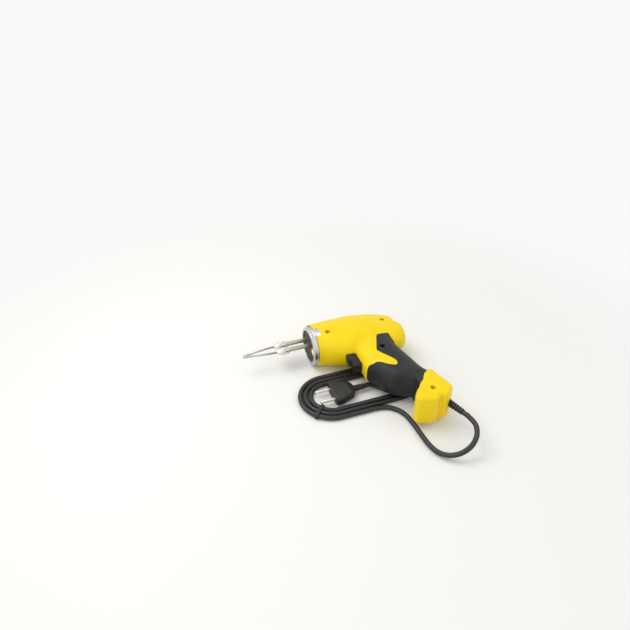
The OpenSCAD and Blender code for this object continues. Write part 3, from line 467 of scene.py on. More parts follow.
GRIP_SCREW = 2
WALL, GRIP_T, FOOT_ROUND = 2.4, 1.6, 5.0
# Powers of the superellipses, the shares of length from which barrel and tail close, how nearly they
# do, and the steps a stretch of the two outlines
BARREL_POWER, HANDLE_POWER, BARREL_END, TAIL_END, NEARLY = 2.2, 2.9, 0.915, 0.965, 0.985
PANEL_STEPS, FOOT_STEPS = 4, 5
# Radius and depth of a screw's recess, its shank, its head's radius and height, the radius of its boss,
# and how far the shank goes past the parting plane
RECESS_R, RECESS_D, SCREW_R, HEAD_R, HEAD_H, BOSS_R, BITE = 3.2, 8.0, 1.5, 2.8, 2.0, 4.6, 10.0
# Half the line between the shells, the gap round a panel, that round what moves, a close fit, a
# cutter's overrun, and reaches ahead of, behind, over, under and beside the housing
SEAM, PANEL_GAP, GAP, FIT, OVER = 0.05, 0.15, 0.3, 0.05, 0.5
AHEAD, BEHIND, ABOVE, BELOW, BESIDE = -9.0, 160.0, 60.0, -200.0, 60.0
# The ring: radius and length of its band, whole length, the step down behind the band, and wall
RING_R, RING_BAND, RING_LEN, RING_STEP, RING_WALL = 25.0, 6.5, 16.0, 1.4, 1.5
# From this height up the shells reach over the ring's band; behind the band they have a window
TONGUE_Y, WINDOW_X, WINDOW_Y, WINDOW_Z, WINDOW_ROUND = 13.77, (6.45, 13.1), (-14.2, 0.9), 13.25, 3.0
TRIGGER_X, TRIGGER_LEN, TRIGGER_TOP, TRIGGER_LOW, TRIGGER_HALF = 36.5, 20.0, -40.0, -65.0, 6.4
SLEEVE_R, SLEEVE_DROP = 3.9, 0.9
# The boot's flange inside the foot, from back to front along the cord, its radius and the boot's
FLANGE_BACK, FLANGE_FRONT, FLANGE_R, BOOT_R = -8.0, -6.0, 6.4, 4.4
ORIGIN, X_AXIS, Z_AXIS = [0, 0, 0], [1, 0, 0], [0, 0, 1]


def loft_along_x(table, thin, count, around, end_from):
    """Superellipse sections square to x: height from spine to belly, half width in z. Past the share
    end_from each section shrinks by the root of one less the square of its way to the end."""
    share = spread(table, count)
    close = np.clip((share[:, 0] - end_from) / (share[-1, 0] - end_from), 0, NEARLY)
    close = np.sqrt(1 - close ** 2)
    top, low = SPINE * share[:, 1] - thin, -BELLY * share[:, 2] + thin
    a, b = superellipse((top - low) / 2 * close, (BARREL_HALF * share[:, 3] - thin) * close,
                        BARREL_POWER, around)
    x = np.minimum(BODY_LEN * share[:, 0], BODY_LEN - thin)
    return skin(np.stack([np.broadcast_to(x[:, None], a.shape), a + (top + low)[:, None] / 2, b], -1))


def loft_handle(thin):
    """Superellipse sections square to y, from front to back of the handle."""
    share = spread(HANDLE, 56)
    front, back = BODY_LEN * share[:, 1] + thin, BODY_LEN * share[:, 2] - thin
    a, b = superellipse((back - front) / 2, HANDLE_HALF * share[:, 3] - thin, HANDLE_POWER, 72)
    y = np.broadcast_to(-HANDLE_DROP * share[:, :1], a.shape)
    return skin(np.stack([a + (front + back)[:, None] / 2, y, b], -1))


def flat_outline(shares, steps):
    """A closed outline of shares as a smooth loop of steps points a stretch, in millimetres."""
    loop = np.array(shares) * [BODY_LEN, HANDLE_DROP]
    many = np.concatenate([loop[-1:], loop, loop[:2]])
    return curve(many, steps)[steps:steps * (len(loop) + 1)]


def way_round(loop):
    """1 for a flat loop that runs anticlockwise and -1 for one that doesn't, by its area's sign."""
    after = np.roll(loop, -1, 0)
    return np.sign(np.sum(loop[:, 0] * after[:, 1] - after[:, 0] * loop[:, 1]))


def outward(loop):
    """The outward side of each point of a flat loop, square to the chord between its neighbours."""
    step = np.roll(loop, -1, 0) - np.roll(loop, 1, 0)
    return way_round(loop) * unit(np.stack([step[:, 1], -step[:, 0]], 1))


def pillow(loop, low, high, radius, steps=6):
    """A flat loop carried from z low to high, its edges rounded by radius: the loop draws in by
    radius times one less the cosine of the angle of the round."""
    turn_at = np.linspace(0, np.pi / 2, steps)
    draw = radius * (1 - np.cos(turn_at))
    draws = np.concatenate([draw[::-1], draw])
    levels_z = np.concatenate([low + radius * (1 - np.sin(turn_at[::-1])),
                               high - radius * (1 - np.sin(turn_at))])
    side = outward(loop)
    rings = loop[None] - draws[:, None, None] * side[None]
    z = np.broadcast_to(levels_z[:, None, None], rings.shape[:2] + (1,))
    return skin(np.concatenate([rings, z], -1))


def loft_foot(thin):
    """The foot's side outline carried round with rounded edges."""
    loop = flat_outline(FOOT, FOOT_STEPS)
    return pillow(loop - thin * outward(loop), thin - HANDLE_HALF, HANDLE_HALF - thin,
                  FOOT_ROUND - min(thin, FOOT_ROUND / 2), 8)


def applied(piece):
    """A piece's mesh with its modifiers worked in, and the modifiers taken off."""
    graph = bpy.context.evaluated_depsgraph_get()
    mesh = bpy.data.meshes.new_from_object(piece.evaluated_get(graph))
    piece.modifiers.clear()
    piece.data = mesh
    return piece


def one_skin(name, parts, voxel_mm, rounds, material):
    """Several closed lofts as one closed skin: the union worked out on a fine grid, then relaxed a
    few times, which gives the soft moulded fillets where they meet."""
    piece = build(name, *join(*parts), material)
    remesh = piece.modifiers.new("union", "REMESH")
    remesh.mode, remesh.voxel_size = "VOXEL", voxel_mm * MM
    relax = piece.modifiers.new("fillet", "SMOOTH")
    relax.factor, relax.iterations = 0.5, rounds
    return applied(piece)


def cut(piece, other, operation):
    """Boolean of a closed piece with a closed cutter, worked in at once."""
    step = piece.modifiers.new(operation, "BOOLEAN")
    step.operation, step.object, step.solver = operation, other, "MANIFOLD"
    return applied(piece)


def carve(piece, parts, operation="DIFFERENCE"):
    """A boolean with a closed lot of points and faces that serves for this alone."""
    tool = build("cutter", *parts, piece.data.materials[0])
    cut(piece, tool, operation)
    bpy.data.objects.remove(tool)


def copy_of(piece, name):
    """The same mesh again, as an object of its own."""
    made = bpy.data.objects.new(name, piece.data.copy())
    made.data.name = name
    bpy.context.scene.collection.objects.link(made)
    return made


def prism(loop, low, high):
    """A flat loop carried from z low to high, run anticlockwise so that its faces look outward."""
    loop = loop if way_round(loop) > 0 else loop[::-1]
    return skin(np.stack([np.insert(loop, 2, z, axis=1) for z in (low, high)]))


def body_parts(thin):
    """Barrel, tail, handle and foot as closed lofts, all thinned by the same distance."""
    return [loft_along_x(BARREL, thin, 64, 96, BARREL_END), loft_along_x(TAIL, thin, 30, 72, TAIL_END),
            loft_handle(thin), loft_foot(thin)]


def screw_place(screw):
    """Where a screw stands on the parting plane, and the height of the skin over it."""
    return np.array([BODY_LEN * screw[0], HANDLE_DROP * screw[1], 0.0]), BARREL_HALF * screw[2]


def pin(place, low, high, radius, count=40):
    """A cylinder along z."""
    return revolve([[low, radius], [high, radius]], place, Z_AXIS, count)


def round_box(low, high, radius):
    """A box whose four upright edges are rounded by radius: a circle whose quarters are moved out to
    the corners. It is turned a little, so that no point lies between two quarters."""
    middle, half = (np.array(low) + high) / 2, (np.array(high) - low) / 2
    t = np.linspace(0, 2 * np.pi, 40, endpoint=False) + 0.01
    circle = np.stack([np.cos(t), np.sin(t)], 1)
    return prism(middle[:2] + np.sign(circle) * (half[:2] - radius) + radius * circle, low[2], high[2])


# Grid in mm and rounds of relaxing, for the outside, the inside and the floor of the grip's pocket
OUTSIDE_GRID = ((0.95, 9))
INSIDE_GRID, POCKET_GRID = (1.6, 4), (1.3, 5)
outside = one_skin("outside", body_parts(0), *OUTSIDE_GRID, yellow_abs)
inside = one_skin("inside", body_parts(WALL), *INSIDE_GRID, yellow_abs)
floor_of_grip = one_skin("floor_of_grip", body_parts(GRIP_T), *POCKET_GRID, yellow_abs)

carve(inside, join(*[pin(screw_place(s)[0], -BARREL_HALF, BARREL_HALF, BOSS_R) for s in SCREWS]))
slot_cut = round_box([TRIGGER_X - GAP - OVER, TRIGGER_LOW - GAP, -TRIGGER_HALF - GAP],
                     [TRIGGER_X + TRIGGER_LEN - GAP - OVER, TRIGGER_TOP + GAP, TRIGGER_HALF + GAP], 0.6)
seat_cut = revolve([[AHEAD, RING_R + GAP], [RING_BAND + GAP + FIT, RING_R + GAP],
                    [RING_BAND + GAP + FIT, RING_R - RING_STEP + FIT],
                    [RING_LEN + GAP, RING_R - RING_STEP + FIT]], ORIGIN, X_AXIS, 128)
front_cut = block([-OVER, BELOW, -BESIDE], [RING_BAND + GAP, TONGUE_Y, BESIDE])
windows = [round_box([WINDOW_X[0], WINDOW_Y[0], low], [WINDOW_X[1], WINDOW_Y[1], high], WINDOW_ROUND)
           for low, high in ((WINDOW_Z, BESIDE), (-BESIDE, -WINDOW_Z))]
recesses = []
for screw in SCREWS:
    place, level = screw_place(screw)
    recesses += [pin(place, level - RECESS_D, level + BARREL_HALF, RECESS_R),
                 pin(place, -BITE - OVER, level - RECESS_D + OVER, SCREW_R + GAP)]
# The grip's own black sleeve lines the recess of its screw, down to the screw's seat; it is partly a
# real black lining and partly painted shade that darkens the hole
grip_place, grip_level = screw_place(SCREWS[GRIP_SCREW])
grip_seat = pin(grip_place, grip_level - RECESS_D, grip_level + BARREL_HALF, SLEEVE_R + FIT)
sleeve_profile = [[grip_level - RECESS_D, RECESS_R], [grip_level - RECESS_D, SLEEVE_R],
                  [grip_level - SLEEVE_DROP, SLEEVE_R], [grip_level - SLEEVE_DROP, RECESS_R]]
relief_cut = revolve([[FLANGE_BACK - GAP, FLANGE_R + GAP], [FLANGE_FRONT + GAP, FLANGE_R + GAP],
                      [FLANGE_FRONT + GAP, BOOT_R + FIT], [RELIEF_LEN, BOOT_R + FIT]],
                     RELIEF_SEAT, RELIEF_WAY, 48)


def shell(name, side):
    """One moulded half: the outside less the inside, the pocket of its grip, and every opening."""
    piece = copy_of(outside, name)
    pocket = build("pocket", *prism(flat_outline(PANEL, PANEL_STEPS),
                                    *sorted([-OVER * side, BESIDE * side])), yellow_abs)
    cut(pocket, floor_of_grip, "DIFFERENCE")
    openings = [seat_cut, front_cut, slot_cut, relief_cut] + windows
    if side > 0:
        openings += recesses + [grip_seat]
    else:
        openings += [pin(screw_place(s)[0], -BITE - OVER, OVER, SCREW_R + FIT) for s in SCREWS]
    cut(piece, inside, "DIFFERENCE")
    cut(piece, pocket, "DIFFERENCE")
    bpy.data.objects.remove(pocket)
    for opening in openings:
        carve(piece, opening)
    low, high = sorted([SEAM * side, BESIDE * side])
    carve(piece, block([AHEAD, BELOW, low], [BEHIND, ABOVE, high]), "INTERSECT")
    return piece


def grip(name, side):
    """The black panel that fills a pocket, a little smaller all round."""
    loop = flat_outline(PANEL, PANEL_STEPS)
    piece = build(name, *prism(loop - PANEL_GAP * outward(loop), *sorted([SEAM * side, BESIDE * side])),
                  grip_abs)
    cut(piece, outside, "INTERSECT")
    cut(piece, floor_of_grip, "DIFFERENCE")
    carve(piece, slot_cut)
    if side > 0:
        for opening in recesses[2 * GRIP_SCREW:2 * GRIP_SCREW + 2]:
            carve(piece, opening)
        # the black sleeve in the screw's recess, partly painted shade that darkens the hole
        carve(piece, revolve(sleeve_profile, grip_place, Z_AXIS, 40, closed=True), "UNION")
    return piece


def put(piece, body, node):
    """A finished piece rides on its body and stands for its CAD node, which it hides."""
    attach(piece, body)
    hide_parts(node)
    return piece


def dressed(piece, material, node, sharp_deg=38.0):
    """One material all over, smooth but for real edges, riding on the housing for its CAD node."""
    piece.data.materials.clear()
    piece.data.materials.append(material)
    piece.data.polygons.foreach_set("material_index", np.zeros(len(piece.data.polygons), int))
    piece.data.polygons.foreach_set("use_smooth", np.ones(len(piece.data.polygons), bool))
    piece.data.set_sharp_from_angle(angle=math.radians(sharp_deg))
    put(piece, "housing", node)


def ring_lobe(side):
    """The ring's metal that fills the window behind its band, level with the shell."""
    low, high = sorted([(WINDOW_Z + PANEL_GAP) * side, BESIDE * side])
    lobe = build("lobe", *round_box([WINDOW_X[0] - FIT, WINDOW_Y[0] + PANEL_GAP, low],
                                    [WINDOW_X[1] - PANEL_GAP, WINDOW_Y[1] - PANEL_GAP, high],
                                    WINDOW_ROUND - 2 * FIT), turned_ring)
    cut(lobe, outside, "INTERSECT")
    inner = RING_R - RING_STEP - OVER
    carve(lobe, revolve([[AHEAD, inner], [BEHIND, inner]], ORIGIN, X_AXIS, 96))
    return lobe


lobes = [ring_lobe(1), ring_lobe(-1)]
for name, node, side in (("left_shell", "left_housing", 1), ("right_shell", "right_housing", -1)):
    dressed(shell(name, side), yellow_abs, node)
for name, node, side in (("left_panel", "left_grip", 1), ("right_panel", "right_grip", -1)):
    dressed(grip(name, side), grip_abs, node)
for tool in (outside, inside, floor_of_grip):
    bpy.data.objects.remove(tool)


# Nose
def loop_profile(profile, radius, steps):
    """A closed profile with every corner curved."""
    p = np.asarray(profile, float)
    return rounded(np.concatenate([p[-1:], p, p[:1]]), radius, steps)[1:-1]


BORE = RING_R - RING_STEP - RING_WALL
# The lip in front of the board, the band's front bevel, the groove that parts its two beads
LIP, BEVEL, GROOVE_X, GROOVE_W, GROOVE_D = 1.2, 0.8, 3.4, 1.5, 0.4
ring_profile = loop_profile(
    [[LIP, BORE], [LIP, BORE - LIP], [0, BORE - LIP], [0, RING_R - BEVEL], [BEVEL, RING_R],
     [GROOVE_X, RING_R], [GROOVE_X + GROOVE_D, RING_R - GROOVE_D],
     [GROOVE_X + GROOVE_W - GROOVE_D, RING_R - GROOVE_D], [GROOVE_X + GROOVE_W, RING_R],
     [RING_BAND, RING_R], [RING_BAND, RING_R - RING_STEP], [RING_LEN, RING_R - RING_STEP],
     [RING_LEN, BORE]], 0.35, 4)
ring = build("nose_ring_turned", *revolve(ring_profile, ORIGIN, X_AXIS, 160, closed=True),
             turned_ring, 25)
for lobe in lobes:
    cut(ring, lobe, "UNION")
    bpy.data.objects.remove(lobe)
dressed(ring, turned_ring, "nose_ring", 25)

# The lens is a flat cap of a ball, with a rim, a barrel and a stem behind it
LAMP_R, LAMP_Y, LAMP_LEN, DOME_R, DOME_H, STEM_R = 4.5, -14.0, 11.0, 4.0, 0.8, 3.2
dome = np.linspace(0.02, 1, 12)
lens_profile = np.concatenate([
    np.stack([-DOME_H * np.sqrt(1 - (dome * 0.9) ** 2) + 0.15, dome * DOME_R], 1),
    [[0.1, LAMP_R - 0.15], [0.5, LAMP_R], [6.6, LAMP_R], [7.1, STEM_R], [LAMP_LEN, STEM_R - 0.05]]])
put(build("lamp_lens", *revolve(lens_profile, [LIP, LAMP_Y, 0], X_AXIS, 56), amber_lens, 40),
    "housing", "work_lamp")

# Heights and radius of the rods, where the nuts begin, their hexagon across flats, its length, the
# nose's length, and the radius of the tip's wire
ROD_HIGH, ROD_LOW, ROD_R, ROOT = 14.2, 1.8, 2.9, -26.0
NUT_AF, NUT_LEN, NUT_TAPER, TIP_R = 9.6, 9.0, 7.0, 1.25


def hex_nut(name, y, body, node):
    """A hexagon collet nut along -x: at each place along it the radius is the lesser of the hexagon's
    and of the row's, which chamfers both ends, makes the shoulder and the tapered nose, and goes back
    through the bore."""
    turn_at = np.linspace(0, 2 * np.pi, 96, endpoint=False)
    flat_r = NUT_AF / 2 / np.cos((turn_at + np.pi / 6) % (np.pi / 3) - np.pi / 6)
    end, bore, wire = NUT_LEN + NUT_TAPER, ROD_R + 0.08, TIP_R + 0.15
    rows = np.array([[0, 4.75], [0.25, 5.0], [0.8, NUT_AF], [8.1, NUT_AF], [8.75, 5.0],
                     [NUT_LEN, 4.75], [9.05, 4.4], [9.9, 4.3], [10.1, 4.0], [10.4, 4.2],
                     [end - 0.3, 2.5], [end, 2.2], [end, wire], [12.6, wire], [12.3, bore],
                     [0.3, bore], [0, ROD_R + 0.4]])
    r = np.minimum(flat_r, rows[:, 1:])
    x = np.broadcast_to(ROOT - rows[:, :1], r.shape)
    grid = np.stack([x, y + r * np.cos(turn_at), r * np.sin(turn_at)], -1)[::-1]
    return put(build(name, *skin(grid, closed=True), nickel_nut, 28), body, node)


hex_nut("upper_collet_nut", ROD_HIGH, "upper_nut", "upper_tip_nut")
hex_nut("lower_collet_nut", ROD_LOW, "lower_nut", "lower_tip_nut")

# The wire's legs: shares of its reach and of half the rods' spacing. Past SWELL_X the wire grows over
# SWELL_RUN by its solder, in width and in height
TIP_SHARES = [[0.34, 1], [0.50, 1], [0.56, 0.98], [0.68, 0.80], [0.80, 0.56], [0.90, 0.33],
              [0.96, 0.20], [0.985, 0.11]]
TIP_REACH, TIP_END, SWELL_X, SWELL_RUN, SWELL_W, SWELL_H = 85.0, -82.95, -70.0, 14.0, 0.12, 0.75
tip_y, half_gap = (ROD_HIGH + ROD_LOW) / 2, (ROD_HIGH - ROD_LOW) / 2
leg = np.array([[-TIP_REACH * s, tip_y + half_gap * g, 0.0] for s, g in TIP_SHARES])
other_leg = leg[::-1] * [1, -1, 1] + [0, 2 * tip_y, 0]
tip_path = curve(np.concatenate([[[ROOT, ROD_HIGH, 0.0]], leg, [[TIP_END, tip_y, 0.0]], other_leg,
                                 [[ROOT, ROD_LOW, 0.0]]]), 8)
swell = np.clip((SWELL_X - tip_path[:, 0]) / SWELL_RUN, 0, 1)
swell = swell * swell * (3 - 2 * swell)
tip_piece = build("hairpin_tip", *skin(tube(tip_path, TIP_R + SWELL_W * swell, 20,
                                            TIP_R + SWELL_H * swell)), tip_tin, 50)
put(tip_piece, "tip", "soldering_tip")


# Trigger, screws and strain relief
# The finger's rest: the share of the blade's height at its middle, its radius and depth. Then the
# blade's rounding and its two front corners, the leg under it, and the shoulders that keep it in the
# shells
FINGER_SHARE, FINGER_R, FINGER_DIP, BLADE_ROUND = 0.62, 12.0, 2.5, 1.3
CORNER, CORNER_CUT = 1.4, 0.4
LEG_L, LEG_DROP, LEG_HALF, SHOULDER_L, SHOULDER_HALF = 3.0, 11.0, 4.0, 3.2, 9.4
back_x = TRIGGER_X + TRIGGER_LEN
finger_y = TRIGGER_TOP - FINGER_SHARE * (TRIGGER_TOP - TRIGGER_LOW)
off = math.sqrt(FINGER_R ** 2 - (FINGER_R - FINGER_DIP) ** 2) * np.linspace(-1, 1, 25)
rest_x = TRIGGER_X - FINGER_R + FINGER_DIP + np.sqrt(FINGER_R ** 2 - off ** 2)
face = np.concatenate([
    [[back_x, TRIGGER_LOW], [back_x, TRIGGER_TOP], [TRIGGER_X + CORNER, TRIGGER_TOP],
     [TRIGGER_X + CORNER_CUT, TRIGGER_TOP - CORNER_CUT], [TRIGGER_X, TRIGGER_TOP - CORNER]],
    np.stack([rest_x, finger_y + off], 1)[::-1],
    [[TRIGGER_X + CORNER_CUT, TRIGGER_LOW + 0.6], [TRIGGER_X + 1.2, TRIGGER_LOW]]])
trigger_piece = build("trigger_blade", *join(
    pillow(face, -TRIGGER_HALF, TRIGGER_HALF, BLADE_ROUND),
    block([back_x - LEG_L, TRIGGER_LOW - LEG_DROP, -LEG_HALF], [back_x, TRIGGER_LOW + OVER, LEG_HALF]),
    block([back_x - SHOULDER_L, TRIGGER_LOW, -SHOULDER_HALF],
          [back_x - 0.01, TRIGGER_TOP, SHOULDER_HALF])), black_nylon, 40)
put(trigger_piece, "trigger", "trigger")


def helix(x0, x1, radius, wire, turns, ends=1.0, slow=0.35, steps=24, sides=10):
    """A round wire wound about the x axis: its middle turns evenly while x runs from x0 to x1, slowly
    over the closed turns at both ends, and each section is laid out on the radial line there."""
    t = np.linspace(0, turns, int(turns * steps) + 1)
    rise = np.where((t < ends) | (t > turns - ends), slow, 1.0)
    x = np.concatenate([[0], np.cumsum((rise[1:] + rise[:-1]) / 2)])
    x = x0 + wire + (x1 - x0 - 2 * wire) * x / x[-1]
    a = 2 * np.pi * t
    radial = np.stack([np.zeros_like(a), np.cos(a), np.sin(a)], 1)
    middle = np.stack([x, np.zeros_like(a), np.zeros_like(a)], 1) + radius * radial
    way = unit(np.gradient(middle, axis=0))
    over = np.cross(way, radial)
    around = np.linspace(0, 2 * np.pi, sides, endpoint=False)[None, :, None]
    return middle[:, None] + wire * (np.cos(around) * radial[:, None] + np.sin(around) * over[:, None])


SPRING_Y, SPRING_FAR, SPRING_R, SPRING_WIRE, SPRING_TURNS = -50.0, 67.7, 2.6, 0.4, 6
spring = build("return_spring", *skin(helix(back_x + GAP, SPRING_FAR, SPRING_R, SPRING_WIRE,
                                            SPRING_TURNS) + [0, SPRING_Y, 0]), zinc_steel, 60)
put(spring, "housing", "trigger_spring")
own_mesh(spring)


def screw_parts(screw):
    """A pan head screw: its dome and shank as one profile, the head sunk in its recess."""
    place, level = screw_place(screw)
    seat = level - RECESS_D
    profile = [[-BITE, 0.3], [-BITE + 1, SCREW_R], [seat, SCREW_R], [seat, HEAD_R - 0.2],
               [seat + 0.2, HEAD_R], [seat + 1.1, HEAD_R - 0.05], [seat + 1.6, HEAD_R - 0.5],
               [seat + 1.9, HEAD_R - 1.2], [seat + HEAD_H, 0.3]]
    return revolve(profile, place, Z_AXIS, 48)


SLOT_LONG, SLOT_WIDE, SLOT_D = 1.7, 0.38, 1.1  # half of the cross slot's length and width, and depth
screws = build("cross_head_screws", *join(*[screw_parts(s) for s in SCREWS]), zinc_steel, 30)
for screw in SCREWS:
    (x, y, _), level = screw_place(screw)
    top = level - RECESS_D + HEAD_H
    for wide, tall in ((SLOT_LONG, SLOT_WIDE), (SLOT_WIDE, SLOT_LONG)):
        carve(screws, block([x - wide, y - tall, top - SLOT_D], [x + wide, y + tall, top + OVER]))
dressed(screws, zinc_steel, "housing_screws", 30)


def ribbed(first_r, last_r, ribs, length, root_r, share=0.6, first_gap=0.0):
    """Profile of a ribbed sleeve: ribs whose radius runs from first_r to last_r, grooves down to
    root_r between them."""
    pitch = length / ribs
    profile = []
    for i in range(ribs):
        r = first_r + (last_r - first_r) * i / max(ribs - 1, 1)
        at = (i + first_gap) * pitch
        profile += [[at + 0.15, r - 0.35], [at + 0.5, r], [at + share * pitch - 0.4, r - 0.02],
                    [at + share * pitch, r - 0.4], [at + share * pitch + 0.05, root_r + 0.05],
                    [at + pitch - 0.1, root_r + 0.05]]
    return profile


# Radius of a profile's flat at the axis, of a sleeve where it meets the cord, of the boot's thin end
AXIS_R, CLOSE_R, THIN_R = 0.4, CORD_R + 0.15, 3.7
boot_profile = [[FLANGE_BACK, AXIS_R], [FLANGE_BACK, FLANGE_R - 0.1], [FLANGE_FRONT - 0.1, FLANGE_R],
                [FLANGE_FRONT, BOOT_R], [-0.1, BOOT_R]]
boot_profile += ribbed(BOOT_R, THIN_R, 6, RELIEF_LEN, CLOSE_R)
boot_profile += [[RELIEF_LEN - 0.02, CLOSE_R], [RELIEF_LEN - 0.02, AXIS_R]]
put(build("cord_boot", *revolve(boot_profile, RELIEF_SEAT, RELIEF_WAY, 56), boot_pvc, 35),
    "housing", "cord_strain_relief")


# Plug and tie
PLUG = np.array([PLUG_X, PLUG_Y, PLUG_T / 2 + BENCH])
NECK_L, NECK_R, PLUG_L, PLUG_W = 15.0, 4.3, 27.5, 35.0
PIN_R, PIN_L, PIN_ROOT, PIN_GAP = 2.0, 19.0, 7.7, 18.0
neck_profile = [[0.02, AXIS_R], [0.02, CLOSE_R]]
neck_profile += ribbed(THIN_R, NECK_R, 5, NECK_L, CLOSE_R, first_gap=0.4)[:-2]
neck_profile += [[NECK_L + 0.4, NECK_R - 0.1], [NECK_L + 0.4, AXIS_R]]
neck = put(build("plug_neck", *revolve(neck_profile, PLUG, [-1, 0, 0], 48), boot_pvc, 35),
           "housing", "plug_relief")

# Rows of the plug: share of its length, and half its width and half its thickness as shares of the
# whole. Between two shares it has finger ribs, as deep as RIB_D
PLUG_RIBS, RIB_FROM, RIB_TO, RIB_D, PLUG_POWER = 4, 0.34, 0.74, 0.7, 4.2
plug_rows = spread([[0, 0.20, 0.31], [0.10, 0.31, 0.40], [0.25, 0.355, 0.50], [0.44, 0.42, 0.50],
                    [0.60, 0.475, 0.50], [0.76, 0.497, 0.50], [0.96, 0.497, 0.50],
                    [1, 0.497, 0.50]], 48)
share = plug_rows[:, 0]
ends = 1 - 0.05 * np.clip((share - 0.95) / 0.05, 0, 1) ** 2
wave = 2 * np.pi * PLUG_RIBS * (share - RIB_FROM) / (RIB_TO - RIB_FROM)
grooves = RIB_D * np.where((share > RIB_FROM) & (share < RIB_TO), 0.5 - 0.5 * np.cos(wave), 0)
wide, tall = superellipse((PLUG_W * plug_rows[:, 1] - grooves) * ends,
                          PLUG_T * plug_rows[:, 2] * ends, PLUG_POWER, 72)
depth = np.broadcast_to(PLUG[0] - NECK_L - PLUG_L * plug_rows[:, :1], wide.shape)
plug_body = build("plug_body", *skin(np.stack([depth, PLUG[1] + wide, PLUG[2] + tall], -1)[::-1]),
                  boot_pvc, 50)
put(plug_body, "housing", "mains_plug")

face_x = PLUG[0] - NECK_L - PLUG_L
pin_profile = [[-PIN_ROOT, 0.3], [-PIN_ROOT, PIN_R], [PIN_L - 1.6, PIN_R], [PIN_L - 0.8, 1.75],
               [PIN_L - 0.25, 1.2], [PIN_L, 0.5]]
pins = build("plug_pins_turned", *join(*[
    revolve(pin_profile, [face_x, PLUG[1] + side * PIN_GAP / 2, PLUG[2]], [-1, 0, 0], 40)
    for side in (-1, 1)]), nickel_nut, 35)
put(pins, "housing", "plug_pins")

TIE_EDGE = 0.25  # how far in from its sides the band begins to round
tie_q = (-90 - TIE_ANGLE) / 180 / 3  # loops from the bend's start to the tie
tie_out = WIND_R - WIND_PITCH * tie_q + CORD_R + GAP + TIE_T
tie_in = WIND_R - WIND_PITCH * (tie_q + 2) - CORD_R - GAP - TIE_T
tie_high = CORD_D + 2 * GAP + 2 * TIE_T
u, v = superellipse((tie_out - tie_in) / 2, tie_high / 2, 5.5, 72)
u_in, v_in = superellipse((tie_out - tie_in) / 2 - TIE_T, tie_high / 2 - TIE_T, 7, 72)
radial = np.array([math.cos(math.radians(TIE_ANGLE)), math.sin(math.radians(TIE_ANGLE)), 0])
crosswise = np.array([-radial[1], radial[0], 0])
tie_middle = np.array([*BEND_LEFT, BENCH + tie_high / 2]) + radial * (tie_out + tie_in) / 2


def tie_ring(across, high, shift):
    """A ring of the band: points across the strands and upward, moved along them by shift."""
    return tie_middle + across[:, None] * radial + high[:, None] * Z_AXIS + shift * crosswise


half_w, edge = TIE_W / 2, (u * 0.992, v * 0.97)
tie_rings = np.stack([tie_ring(u, v, TIE_EDGE - half_w), tie_ring(u, v, half_w - TIE_EDGE),
                      tie_ring(*edge, half_w), tie_ring(u_in, v_in, half_w),
                      tie_ring(u_in, v_in, -half_w), tie_ring(*edge, -half_w)])
tie = put(build("cord_tie_band", *skin(tie_rings[::-1], closed=True), boot_pvc, 40),
          "housing", "cord_tie")

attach(cord, "housing")
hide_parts("power_cord_lead", "power_cord_hank")


# The CAD nodes that are shown as they are
SHOWN = {
    "nose_insulator": phenolic, "lamp_socket": dark_nylon, "transformer_core": core_steel,
    "coil_bobbin": cream_nylon, "primary_coil": copper_wire, "secondary_winding": tinned_rod,
    "core_bracket": zinc_steel, "switch_carrier": dark_nylon,
    "switch_body": black_nylon, "switch_plunger": red_nylon, "switch_terminals": brass_blade,
    "cord_clamp": zinc_steel, "inner_wiring": blue_pvc}
for node, material in SHOWN.items():
    if not len(nodes[node].material_slots):
        nodes[node].data.materials.append(material)
    for slot in nodes[node].material_slots:
        slot.material = material


# Floor and light
FAR_WHITE, SKY_STRENGTH = "#FAFAF8", 0.62


def looked_at(tree):
    """1 for rays from the camera, straight or by way of metal or glass, and 0 for the rest."""
    rays = add(tree, "LightPath").outputs
    either = add(tree, "Math", operation="MAXIMUM", i0=rays["Is Camera Ray"], i1=rays["Is Glossy Ray"])
    return add(tree, "Math", operation="MAXIMUM", i0=either, i1=rays["Is Transmission Ray"])


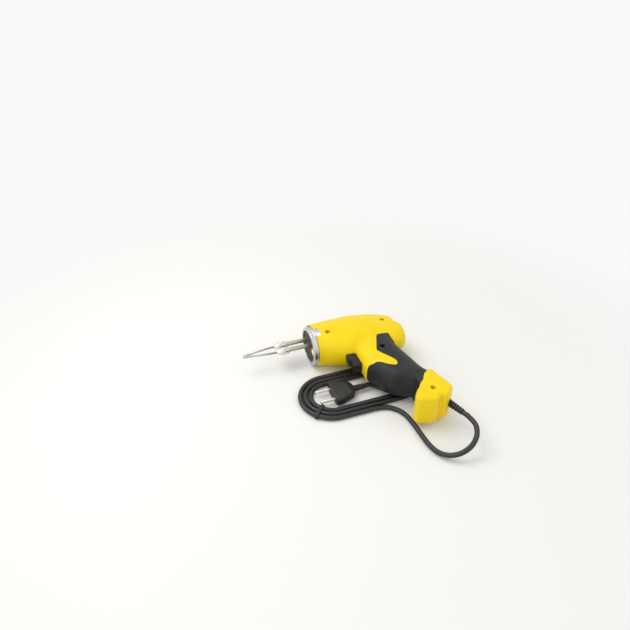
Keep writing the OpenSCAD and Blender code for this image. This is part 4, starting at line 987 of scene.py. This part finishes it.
def studio_white(name, colour, clear_mm, far_mm):
    """A matt white sheet that keeps its shadows near the object and, for the camera alone, gives way
    to an even white between the distances clear_mm and far_mm from the object's base."""
    material, tree, shader = plain(name, Base_Color=linear(colour), Roughness=0.85,
                                   Specular_IOR_Level=0.25)
    away = add(tree, "VectorMath", operation="LENGTH", i0=add(tree, "NewGeometry")).outputs["Value"]
    far = add(tree, "MapRange", interpolation_type="SMOOTHSTEP", Value=away, From_Min=clear_mm * MM,
              From_Max=far_mm * MM)
    share = add(tree, "Math", operation="MULTIPLY", i0=far, i1=looked_at(tree))
    glow = add(tree, "Emission", Color=linear(FAR_WHITE), Strength=1.0)
    fill(tree, tree.nodes["Material Output"],
         Surface=add(tree, "MixShader", i0=share, i1=shader, i2=glow))
    return material


# Half the floor's side, its place just under the iron, and the distances between which it turns white
FLOOR_HALF, FLOOR_GAP, CLEAR_MM, FAR_MM = 4000.0, 0.05, 230, 620
corners = FLOOR_HALF * np.array([[-1, -1], [1, -1], [1, 1], [-1, 1]])
floor = build("studio_floor", np.insert(corners, 2, BENCH - FLOOR_GAP, axis=1), [[0, 1, 2, 3]],
              studio_white("matt_white_floor", "#F6F6F4", CLEAR_MM, FAR_MM))


def lamp(name, place, aim, size_mm, watts, colour="#FFFFFF"):
    """A square soft light at a design point, facing another."""
    data = bpy.data.lights.new(name, "AREA")
    data.shape, data.size, data.energy = "SQUARE", size_mm * MM, watts
    data.color = linear(colour)[:3]
    back = unit(row(place) - row(aim))
    side = unit(np.cross(Z_AXIS, back) + [1e-6, 0, 0])
    stand(bpy.data.objects.new(name, data), side, np.cross(back, side), back, place)


MIDDLE = (30, -70, 0)
lamp("key", (-350, 250, 900), MIDDLE, 700, 4.6, "#FFFDF8")
lamp("fill", (750, -500, 700), MIDDLE, 900, 1.6, "#F6F9FF")
lamp("front", (-550, -650, 450), MIDDLE, 600, 1.0)

world = bpy.context.scene.world or bpy.data.worlds.new("studio")
bpy.context.scene.world = world
world.use_nodes = True
air = world.node_tree
soft = air.nodes["Background"]
fill(air, soft, Color=linear("#FFFFFF"), Strength=SKY_STRENGTH)
white = add(air, "Background", Color=linear(FAR_WHITE), Strength=1.0)
sky = add(air, "MixShader", i0=looked_at(air), i1=soft, i2=white)
fill(air, air.nodes["World Output"], Surface=sky)
bpy.context.scene.view_settings.view_transform = "Standard"
